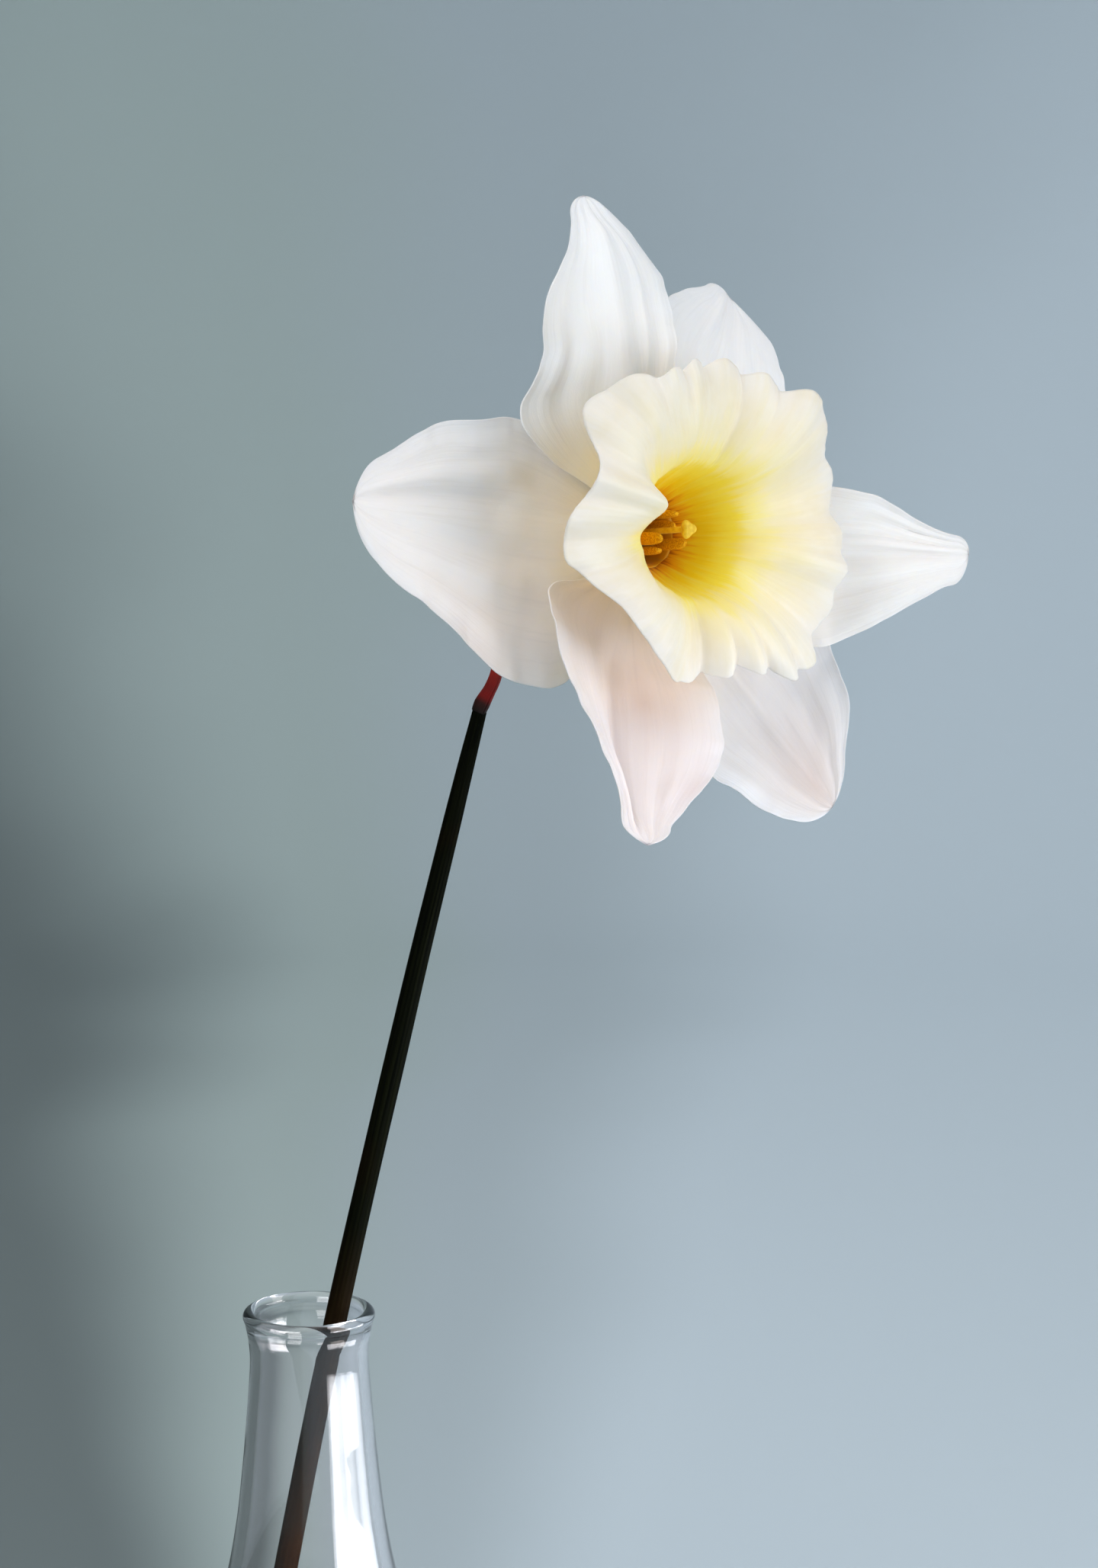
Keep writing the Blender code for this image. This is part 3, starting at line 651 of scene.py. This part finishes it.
def tube_look():
    """Pale green outside, deep orange inside, darkening to brown further down the inside as painted shade of
    the narrow tube: the map's second half runs down the inside.
    """
    look, tree, shader = petal_shader("tube", 0.35, 0.6)
    stops = [
        (0.00, (0.30, 0.38, 0.10)),
        (0.30, (0.62, 0.66, 0.32)),
        (0.48, (0.74, 0.66, 0.30)),
        # the inside: its own orange, darkening to brown further down as painted shade
        (0.56, (0.72, 0.34, 0.004)),
        (0.75, (0.36, 0.12, 0.002)),
        (1.00, (0.14, 0.05, 0.002)),
    ]
    along = ramp(tree, along_share(tree), stops)
    fibres = noise(tree, along_map(tree, 36.0, 5.0), 1.0, 3.0, 0.6)
    set_input(tree, shader, "Base Color", laid_over(tree, along, (0.40, 0.36, 0.12), fibres, 0.5, 0.8, 0.35))
    bump(tree, shader, fibres, 0.3, 0.12)
    return look


def pollen_look():
    look, tree, shader = new_look("anther", Roughness=0.85, Specular_IOR_Level=0.2)
    grains = noise(tree, object_place(tree), 5200.0, 2.0)
    golden = laid_over(tree, (0.62, 0.28, 0.004, 1), (0.88, 0.50, 0.012), grains, 0.4, 0.6)
    set_input(tree, shader, "Base Color", golden)
    bump(tree, shader, grains, 0.8, 0.12)
    return look


def filament_look(name, dark, light):
    look, tree, shader = petal_shader(name, 0.3, 0.5)
    streaks = noise(tree, object_place(tree), 1500.0, 2.0)
    set_input(tree, shader, "Base Color", laid_over(tree, (*dark, 1), light, streaks, 0.35, 0.65))
    bump(tree, shader, streaks, 0.2, 0.08)
    return look


def clear_look(name, refraction, tint):
    return new_look(name, Roughness=0.0, Transmission_Weight=1.0, IOR=refraction, Base_Color=(*tint, 1))


def glass_look():
    look, tree, shader = clear_look("glass", 1.5, (0.975, 0.955, 0.96))
    smears = noise(tree, object_place(tree), 70.0, 4.0)
    set_input(tree, shader, "Roughness", mapped(tree, smears, 0.45, 0.8, 0.0, 0.06))
    bump(tree, shader, noise(tree, object_place(tree), 45.0, 1.0), 0.12, 1.0)
    return look


def water_look():
    look, tree, shader = clear_look("water", 1.333, (0.965, 0.985, 0.98))
    bump(tree, shader, noise(tree, object_place(tree), 120.0, 1.0), 0.03, 0.5)
    return look


# Vase and water


def vase_walls():
    """Outside and inside of the vase as (radius, height) rows, both from the foot upwards."""
    outside = smooth_line(VASE_OUTSIDE, 14)
    along = unit(np.gradient(outside, axis=0))
    inwards = np.stack([-along[:, 1], along[:, 0]], axis=1)
    start, end = VASE_THINNING
    neck = np.clip((outside[:, 1] - start) / (end - start), 0, 1)[:, None]
    inside = outside + inwards * (VASE_WALL_BODY * (1 - neck) + VASE_WALL_NECK * neck)
    return outside, inside[inside[:, 1] > VASE_FLOOR + 2.0]


def vase_floor(edge, height, bottom):
    """Round corner and floor inside, from the wall at (edge, height) in to the centre of the floor."""
    a = np.linspace(0, math.pi / 2, 12)
    across = edge - CORNER_WIDTH * (1 - np.cos(a))
    corner = np.stack([across, bottom + (height - bottom) * (1 - np.sin(a))], axis=1)
    floor = smooth_line([(edge - CORNER_WIDTH, bottom), (edge * 0.5, bottom - 0.15), (0, bottom - 0.2)], 6)
    return np.vstack([corner, floor[1:]])


def make_vase(look):
    outside, inside = vase_walls()
    foot = [(0, 1.1), (9, 1.0), (15.5, 0.5), (18.6, 0.0), (20.6, 0.0), (22.4, 0.6), (23.4, 1.6)]
    foot = smooth_line(foot, 8)
    foot[:, 1] = np.maximum(foot[:, 1], 0)
    top = VASE_HEIGHT / MM - LIP_HALF
    a = np.radians(np.linspace(-40, 215, 28))
    lip = np.stack([LIP_RADIUS + LIP_HALF * np.cos(a), top + LIP_HALF * np.sin(a)], axis=1)
    floor = vase_floor(*inside[0], VASE_FLOOR)
    profile = np.vstack([foot[:-1], outside, lip, inside[::-1], floor[1:]])
    turned("vase_glass", profile, look, ["vase"], segments=200)


def make_water(look):
    """It fills the vase with a hair's breadth of overlap, so that no air shows between them, and its
    surface climbs a little up the glass."""
    overlap, climb = 0.05, 0.7
    inside = vase_walls()[1]
    level = WATER_LEVEL / MM
    wall = inside[inside[:, 1] < level + climb] + np.array([overlap, 0])
    floor = vase_floor(*wall[0], VASE_FLOOR - overlap)[::-1]
    rim, top = wall[-1]
    surface = [(rim, top), (rim - 0.35, level + 0.34), (rim - 0.9, level + 0.12), (rim - 1.8, level)]
    profile = np.vstack([floor[:-1], wall, smooth_line(surface, 5), [(0, level)]])
    turned("water_body", profile, look, ["water"], segments=160)


# Stem, stalk and spathe


def in_world(point):
    """World place, in mm, of a point of the flower's frame."""
    return FLOWER @ (Vector(point) * MM) / MM


def stem_places():
    return [LEAN * away + Vector((0, 0, height)) for height, away in LEAN_AT]


def make_stem(look):
    def section(share, a):
        flat = 1 + 0.06 * np.cos(2 * a + 0.8)
        uneven = 0.03 * soft_noise(a / (2 * math.pi) * 6, np.full_like(a, share * 14), 5, around=6)
        return flat + 0.018 * np.cos(13 * a) + uneven

    sweep("flower_stem", stem_places(), STEM_RADII, look, ["stem"], 72, 40, section)


def stalk_places():
    """The stalk leans a little more than the stem below it, then bends over to the ovary."""
    top = stem_places()
    rise = (top[-1] - top[-2]).normalized()
    start = top[-1] + rise * 0.6
    end = in_world((0, 0, -(TUBE_LENGTH + OVARY_LENGTH + 0.9)))
    bend = in_world((0, -1.0, -(TUBE_LENGTH + OVARY_LENGTH + 6)))
    middle = start + LEAN * 2.5 + Vector((0, 0, 6.5))
    shoulder = Vector((bend.x + 2.4, bend.y - 0.2, bend.z - 6))
    return [start, middle, shoulder, bend, end]


def make_stalk(look):
    """Its ends reach into the stem and into the ovary, so that no gap shows."""
    places = stalk_places()
    first = places[0] + (places[0] - places[1]).normalized() * 1.6
    last = in_world((0, 0, -(TUBE_LENGTH + OVARY_LENGTH - 1.0)))
    shares = [0.62, 0.62, 0.66, 0.9, 1.2, 1.45, 1.9]
    radii = [STALK_RADIUS * share for share in shares]

    def section(share, a):
        return 1 + 0.03 * np.cos(9 * a) + 0.04 * np.cos(2 * a)

    sweep("flower_stalk", [first, *places, last], radii, look, ["pedicel"], 40, 14, section)


def make_spathe(look):
    """A papery sheath, closed round the foot of the stalk. Higher up it is open on the side that the stalk
    bends to, and drawn out to a point behind it. It is creased lengthwise."""
    line = smooth_line(stalk_places(), 30)
    reach = along_line(line)
    rows, columns = 90, 60
    x = np.linspace(-1, 1, columns)
    grid = np.zeros((rows, columns, 3))
    for i, s in enumerate(np.linspace(0, 1, rows)):
        at = min(s, SPATHE_PARTING) * SPATHE_LENGTH
        centre = np.array([np.interp(at, reach, line[:, k]) for k in range(3)])
        ahead = np.array([np.interp(at + 1, reach, line[:, k]) for k in range(3)])
        along = unit(ahead - centre)
        side = unit(np.cross(along, np.array(in_world((0, 0, 1)) - in_world((0, 0, 0)))))
        out = np.cross(side, along)
        leave = max(0.0, s - SPATHE_PARTING)
        centre = centre + along * (leave * SPATHE_LENGTH - 0.8 * (1 - s)) - out * leave**1.3 * 4.0
        radius = np.interp(s, [0, 0.06, 0.16, 0.30, 0.55, 1], [0.98, 1.10, 0.86, 0.80, 1.5, 1.1])
        opened = max(0.0, (s - SPATHE_CLOSED) / (1 - SPATHE_CLOSED))
        wrap = 177 - 45 * smooth_step(opened / 0.2) - 125 * opened**1.2  # degrees to either side
        a = math.pi + math.radians(wrap) * x
        crease = 0.09 * np.sin(9 * x + 3 * s) + 0.12 * soft_noise(x * 5 + 10, np.full_like(x, s * 9), 21)
        curl = 0.35 * np.abs(x) ** 4 * math.sin(5 * s + 1.0)
        r = (radius + (crease + curl) * min(1.0, 0.3 + opened * 2))[:, None]
        grid[i] = centre + (out * np.cos(a)[:, None] + side * np.sin(a)[:, None]) * r
    shell("papery_spathe", grid, SPATHE_HALF, look, ["spathe"])


# Flower


def side_width(s, outline, end):
    """Half width of one side of a tepal along it. end is the share of its length in its round end."""
    line = smooth_line(outline, 12)
    into_end = np.clip((s - 1 + end) / end, 0, 1)
    return np.interp(s, line[:, 0], line[:, 1]) * np.sqrt(np.clip(1 - into_end**2, 4e-4, 1))


def midrib(spec, s):
    """Points of a tepal's midrib, with the directions across the tepal and out of its front there."""
    foot_slope, tip_slope = (math.radians(a) for a in spec["slope"])
    fine = np.linspace(0, 1, 1200)

    def ahead_at(t):
        slope = foot_slope + (tip_slope - foot_slope) * t**1.3
        heading = math.radians(spec["sweep"]) * t
        level = np.cos(slope)
        return np.stack([level * np.cos(heading), level * np.sin(heading), np.sin(slope)], axis=1)

    steps = ahead_at((fine[1:] + fine[:-1]) / 2) * spec["length"] / (len(fine) - 1)
    places = np.vstack([[0, 0, 0], np.cumsum(steps, axis=0)])
    place = np.stack([np.interp(s, fine, places[:, k]) for k in range(3)], axis=1)
    place += [TEPAL_ROOT, 0, 0.5 if spec["inner"] else -0.7]
    ahead = ahead_at(s)
    heading = math.radians(spec["sweep"]) * s
    twist = (math.radians(spec["twist"]) * s**1.5)[:, None]
    flat = np.stack([-np.sin(heading), np.cos(heading), np.zeros_like(s)], axis=1)
    across = flat * np.cos(twist) + np.cross(ahead, flat) * np.sin(twist)
    return place, across, np.cross(ahead, across)


def tepal_relief(spec, s, x, seed):
    """Height of the fine shapes of a tepal above its smooth surface, mm."""
    grown = np.clip(s / 0.35, 0, 1)
    veins = np.cos(2 * math.pi * (VEINS * x + 0.5 * soft_noise(x * 3 + 20, s * 4, seed + 1)))
    height = 0.030 * veins * (1 - 0.6 * np.abs(x)) * grown
    pleats = np.cos(2 * math.pi * (2.6 * x + 0.35 * soft_noise(x * 2 + 20, s * 2, seed + 2)))
    height = height + 0.16 * pleats * grown
    height = height + 0.55 * soft_noise(x * 1.8 + 20, s * 4.0, seed + 3) * grown * (0.4 + 0.6 * np.abs(x))
    height = height + 0.16 * soft_noise(x * 5 + 20, s * 11, seed + 4) * grown
    margin = np.abs(x) ** 5 * grown
    height = height + margin * (0.55 * soft_noise(s * 9 + 30 * (x > 0), x * 0, seed + 5))
    height = height + margin * 0.22 * soft_noise(s * 24 + 30 * (x > 0), x * 0, seed + 6)
    for place, wide, high, start, end in spec["ridges"]:
        bell = np.exp(-(((x - place) / wide) ** 2))
        lasting = smooth_step((s - start) / 0.15) * smooth_step((end - s) / 0.12)
        height = height + high * bell * lasting
    return height


def tepal_grid(spec, seed):
    """Points of a tepal's middle surface in the flower's frame, and its rows' shares of the length."""
    s = 1 - (1 - np.linspace(0, 1, TEPAL_ROWS)) ** 1.6
    place, across, front = midrib(spec, s)
    x = np.sin(np.linspace(-1, 1, TEPAL_COLUMNS) * 1.25) / math.sin(1.25)
    s_all, x_all = np.meshgrid(s, x, indexing="ij")
    end = spec["end"] / spec["length"]
    left = side_width(s, spec["left"], end)[:, None]
    right = side_width(s, spec["right"], end)[:, None]
    uneven = 1 + 0.03 * soft_noise(s_all * 7 + 30 * (x_all > 0), s_all * 0, seed) * np.abs(x_all)
    half = np.where(x_all > 0, left, right) * uneven
    open_share = np.clip(s_all / 0.35, 0, 1)
    bend = np.maximum(math.radians(spec["cup"]) * (1 - 0.35 * s_all) * open_share, 1e-4)
    aside = half * np.sin(bend * x_all) / bend
    lift = half * (1 - np.cos(bend * x_all)) / bend
    lift += half * spec["fold"] * (np.hypot(x_all, 0.10) - 0.10) * open_share
    high, turns, phase = spec["wave"]
    lift += half * high * x_all * np.abs(x_all) * np.sin(2 * math.pi * (turns * s_all + phase)) * open_share
    lift += tepal_relief(spec, s_all, x_all, seed) * np.clip(half / 4.0, 0, 1) * (1 - 0.7 * s_all**8)
    grid = place[:, None] + across[:, None] * aside[..., None] + front[:, None] * lift[..., None]
    around = Matrix.Rotation(math.radians(spec["azimuth"]), 4, "Z")
    return moved(grid, around), s, x_all, s_all


def make_tepals():
    for seed, (name, spec) in enumerate(TEPALS.items()):
        grid, s, x_all, s_all = tepal_grid(spec, 100 * seed + 7)
        half = TEPAL_HALF * (1 - 0.65 * np.abs(x_all) ** 3) * (1 - 0.5 * s_all**6)
        look = tepal_look(name, spec["tint"], spec["painted_shades"])
        shell(name.replace("tepal", "petal"), moved(grid, FLOWER), half, look, [name], s=s)


def around_axis(table, a):
    """Value at each angle (radians) of a smooth closed curve through (degrees, value) points."""
    points = np.array(table, float)
    points = np.vstack([points[-2:] - [360, 0], points, points[:2] + [360, 0]])
    line = smooth_line(points, 12)
    return np.interp(np.degrees(a) % 360, line[:, 0], line[:, 1])


def corona_grid():
    """Points of the corona's middle surface, in rings from its foot to its frilled rim."""
    profile = smooth_line(CORONA_PROFILE, 16)
    reach = along_line(profile)
    turns = np.linspace(0, 2 * math.pi, CORONA_SEGMENTS, endpoint=False)
    s, a = np.meshgrid(np.linspace(0, 1, CORONA_ROWS), turns, indexing="ij")
    radius = np.interp(s * reach[-1], reach, profile[:, 0])
    height = np.interp(s * reach[-1], reach, profile[:, 1])
    flange = smooth_step((s - 0.35) / 0.35)
    rim = np.clip((s - 0.5) / 0.5, 0, 1)
    wander = 0.10 * np.sin(2 * a + 0.6) + 0.06 * np.sin(5 * a + 2.0)
    fold = np.cos(FOLDS * (a + wander - math.radians(165)))
    turn = a / (2 * math.pi)
    warped = a + 0.5 * wander + 0.07 * soft_noise(turn * 15, s * 1.5, 1, around=15)
    rib = np.sqrt(np.cos(RIBS / 2 * warped) ** 2 + 0.02) - 0.62
    strong = 1 + 0.6 * soft_noise(turn * 11, s * 0, 2, around=11)
    out = 0.55 * rib * s * (1 - rim) + (1.1 * rib * strong - 0.5 * fold) * rim
    up = FOLD_HEIGHT * fold * flange + RIB_HEIGHT * strong * rib * np.clip((s - 0.25) / 0.75, 0, 1)
    out = out + around_axis(RIM_REACH, a) * rim**1.3
    up = up + around_axis(RIM_BEND, a) * rim**1.5
    small = np.sqrt(np.cos(RIBS * warped + 0.7 + 2 * s) ** 2 + 0.04) - 0.62
    out = out + (0.15 * small * strong + 0.45 * soft_noise(turn * 34, s * 3, 3, around=34)) * rim**2
    up = up + (0.15 * small + 0.7 * soft_noise(turn * 27, s * 2.5, 4, around=27)) * rim**1.5
    for angle, wide, at, rise, lean in LOBES:
        away = np.angle(np.exp(1j * (a - math.radians(angle)))) / math.radians(wide)
        bell = np.exp(-(away**2)) * np.exp(-(((s - at) / 0.18) ** 2))
        up = up + rise * bell
        out = out + lean * bell
    up = up + 0.03 * np.cos(6 * RIBS * warped) * s
    r = radius + out
    return np.stack([r * np.cos(a), r * np.sin(a), height + up], axis=-1), s


def make_corona(look):
    grid, s = corona_grid()
    half = CORONA_HALF[0] * (1 - s) + CORONA_HALF[1] * s
    shell("frilled_corona", moved(grid, FLOWER), half, look, ["corona"], wrapped=True)


def make_tube(look):
    """The perianth tube flares into the foot of the tepals and of the corona, and merges with the ovary."""
    outside = smooth_line([(2.6, -18.6), (3.0, -14), (3.4, -8), (4.1, -3), (5.3, -0.9), (7.4, -0.25)], 10)
    lip = np.array([(7.6, 0.0), (7.3, 0.35), (6.2, 0.9), (5.2, 1.7), (4.9, 2.2), (4.6, 1.9), (4.35, 1.0)])
    inside = smooth_line([(4.2, 0.0), (3.7, -2.5), (2.9, -7), (2.4, -14), (2.3, -17)], 10)
    profile = np.vstack([[(0, -18.6)], outside, lip, inside, [(0, -17.2)]])
    turned("flower_tube", profile, look, ["perianth_tube"], 120, (6, 0.025), FLOWER)


def make_ovary(look):
    top = -TUBE_LENGTH + 0.6
    a = np.radians(np.linspace(-88, 88, 60))
    wide = OVARY_RADIUS * np.cos(a) ** 0.8
    high = top - OVARY_LENGTH * (0.5 - 0.5 * np.sin(a)) - 0.4
    turned("seed_ovary", np.stack([wide, high], axis=1), look, ["ovary"], 120, (3, 0.07), FLOWER)


def make_stamens(thread, pollen):
    """Six stamens round the style, in a long and a short whorl."""
    floor = -TUBE_LENGTH + 1.0
    for k in range(STAMENS):
        a = 2 * math.pi * k / STAMENS + 0.3
        away = Vector((math.cos(a), math.sin(a), 0))
        top = SACS_AT[k % 2]
        places = [away * 1.55 + Vector((0, 0, floor)), away * 1.7 + Vector((0, 0, floor * 0.5))]
        places += [away * 2.35 + Vector((0, 0, top)), away * 2.45 + Vector((0, 0, top + 1.5))]
        places = [in_world(place) for place in places]
        node = f"filament_{k + 1}"
        sweep(f"thread_{k + 1}", places, [0.32, 0.30, 0.24, 0.15], thread, [node], 16, 10)
        b = np.radians(np.linspace(-86, 86, 36))
        profile = np.stack([SAC_RADIUS * np.cos(b) ** 0.6, SAC_HALF_LENGTH * np.sin(b)], axis=1)
        stand = away * 2.5 + Vector((0, 0, top + SAC_HALF_LENGTH + 0.3))
        place = FLOWER @ Matrix.Translation(stand * MM) @ Matrix.Rotation(a + math.pi / 2, 4, "Z")
        turned(f"pollen_sac_{k + 1}", profile, pollen, [f"anther_{k + 1}"], 40, (2, 0.26), place)


def make_pistil(look):
    """The style, a little bent, and the three-lobed stigma on its tip."""
    floor, tip = -TUBE_LENGTH + 1.0, STYLE_TIP
    places = [(0, 0, floor), (0.1, 0, floor / 2), (0.15, 0.25, tip), (0.15, 0.25, tip + 0.8)]
    places = [in_world(place) for place in places]
    sweep("pistil_style", places, [0.5, 0.46, 0.42, 0.40], look, ["style"], 20, 14)
    rows = smooth_line([(0, 0), (0.5, 0.1), (1.0, 0.7), (1.15, 1.1), (0.9, 1.5), (0.4, 1.55), (0, 1.5)], 6)
    rows[:, 0] = np.maximum(rows[:, 0], 0)
    place = FLOWER @ Matrix.Translation(Vector((0.15, 0.25, tip + 0.3)) * MM)
    turned("pistil_stigma", rows, look, ["stigma"], 48, (3, 0.22), place)


# Studio, in metres

RIGHT = LEAN  # the camera's right
AHEAD = Vector((-LEAN.y, LEAN.x, 0))  # level, away from the camera
UP = Vector((0, 0, 1))
CAMERA_PLACE = RIGHT * 0.0363 - AHEAD * 0.480 + UP * 0.2676
CAMERA_PITCH = math.radians(8)  # it looks down by this much
CAMERA_LENS = 75.26  # mm, for a picture 36 mm high
BOWL_SEGMENTS = 128


def bowl_mesh():
    """A level floor that curves up into a wall all round."""
    a = np.radians(np.linspace(0, 90, 28))
    profile = [(0.0, 0.0), (0.35, 0.0), (0.7, 0.0)]
    profile += [(0.9 + 0.6 * math.sin(t), 0.6 - 0.6 * math.cos(t)) for t in a]
    profile += [(1.5, 0.9), (1.5, 1.5)]
    vertices = []
    for radius, height in profile:
        radius = max(radius, 1e-4)
        for k in range(BOWL_SEGMENTS):
            turn = 2 * math.pi * k / BOWL_SEGMENTS
            vertices.append((radius * math.cos(turn), radius * math.sin(turn), height))
    quads, _ = grid_quads(len(profile), BOWL_SEGMENTS, True)
    mesh = bpy.data.meshes.new("studio_bowl")
    mesh.from_pydata(vertices, [], quads.tolist())
    mesh.shade_smooth()
    return mesh


def paper_look():
    """Painted light and shade: grey and darker on the camera's left, pale blue and lighter on its right, most
    steeply on the floor, with faint clouds.
    """
    look, tree, shader = new_look("studio_paper", Roughness=0.9, Specular_IOR_Level=0.1)
    clouds = noise(tree, object_place(tree), 2.2, 2.0)
    place = object_place(tree)
    inputs = {0: place, 1: RIGHT}
    aside = add_node(tree, "ShaderNodeVectorMath", inputs, operation="DOT_PRODUCT").outputs["Value"]
    away = add_node(tree, "ShaderNodeVectorMath", {0: place}, operation="LENGTH").outputs["Value"]
    level = add_node(tree, "ShaderNodeSeparateXYZ", {0: place}).outputs["Z"]
    # painted light and shade: darker to the camera's left and lighter to its right, more steeply on the floor
    turned_by = maths(tree, "DIVIDE", aside, maths(tree, "ADD", away, 0.1))
    painted_light_slope = maths(tree, "MULTIPLY", turned_by, mapped(tree, level, 0.0, 0.5, 2.2, 1.0))
    uneven = maths(tree, "ADD", painted_light_slope, mapped(tree, clouds, 0.3, 0.7, -0.07, 0.07))
    stops = [
        (0.0, (0.17, 0.21, 0.22)),
        (0.35, (0.44, 0.54, 0.55)),
        (0.6, (0.47, 0.56, 0.62)),
        (1.0, (0.62, 0.73, 0.82)),
    ]
    set_input(tree, shader, "Base Color", ramp(tree, mapped(tree, uneven, -0.45, 0.35, 0.0, 1.0), stops))
    return look


def make_stage():
    mesh = bowl_mesh()
    mesh.materials.append(paper_look())
    bowl = bpy.data.objects.new("studio_bowl", mesh)
    bpy.context.scene.collection.objects.link(bowl)


def make_camera():
    camera = bpy.data.cameras.new("camera")
    camera.sensor_fit = "VERTICAL"
    camera.sensor_height = 36.0
    camera.lens = CAMERA_LENS
    camera.clip_start = 0.01
    holder = bpy.data.objects.new("camera", camera)
    bpy.context.scene.collection.objects.link(holder)
    holder.location = CAMERA_PLACE
    look = AHEAD * math.cos(CAMERA_PITCH) - UP * math.sin(CAMERA_PITCH)
    holder.rotation_euler = look.to_track_quat("-Z", "Y").to_euler()
    bpy.context.scene.camera = holder


def make_light(name, place, aim, size, watts, colour, spread=math.pi):
    """Rectangular soft box, size (width, height). spread is the angle of its beam."""
    light = bpy.data.lights.new(name, "AREA")
    light.shape = "RECTANGLE"
    light.size, light.size_y = size
    light.energy = watts
    light.color = colour
    light.spread = spread
    holder = bpy.data.objects.new(name, light)
    bpy.context.scene.collection.objects.link(holder)
    holder.location = place
    holder.rotation_euler = (aim - place).to_track_quat("-Z", "Y").to_euler()
    holder.visible_camera = False


def make_lights():
    """Two soft boxes for the flower, and three small ones with narrow beams for the bright upright
    reflection in the glass."""
    flower = FLOWER_CENTRE
    box = (0.40, 0.40)
    place = flower - RIGHT * 0.40 - AHEAD * 0.68 + UP * 0.28
    make_light("key", place, flower, box, 3.4, (0.99, 0.99, 1.0))
    place = flower + RIGHT * 0.60 - AHEAD * 0.30 - UP * 0.06
    make_light("fill", place, flower, box, 2.1, (1.0, 0.93, 0.87))
    neck = UP * 0.09
    for k, degrees in enumerate((52, 75, 98)):
        a = math.radians(degrees)
        place = (RIGHT * math.sin(a) - AHEAD * math.cos(a)) * 0.36 + UP * 0.085
        make_light(f"strip_{k + 1}", place, neck, (0.145, 0.15), 0.06, (0.94, 0.96, 1.0), math.radians(40))
    world = bpy.data.worlds.new("studio")
    bpy.context.scene.world = world
    world.use_nodes = True
    sky = world.node_tree.nodes["Background"]
    sky.inputs["Color"].default_value = (1.0, 0.97, 0.94, 1)
    sky.inputs["Strength"].default_value = 0.95


def main():
    make_vase(glass_look())
    make_water(water_look())
    make_stem(stem_look())
    make_stalk(stalk_look())
    make_spathe(spathe_look())
    make_ovary(ovary_look())
    make_tube(tube_look())
    make_tepals()
    make_corona(corona_look())
    make_stamens(filament_look("filament", (0.62, 0.46, 0.08), (0.80, 0.68, 0.26)), pollen_look())
    make_pistil(filament_look("stigma", (0.74, 0.46, 0.012), (0.88, 0.62, 0.04)))
    make_stage()
    make_camera()
    make_lights()
    bpy.context.scene.view_settings.view_transform = "Standard"


main()
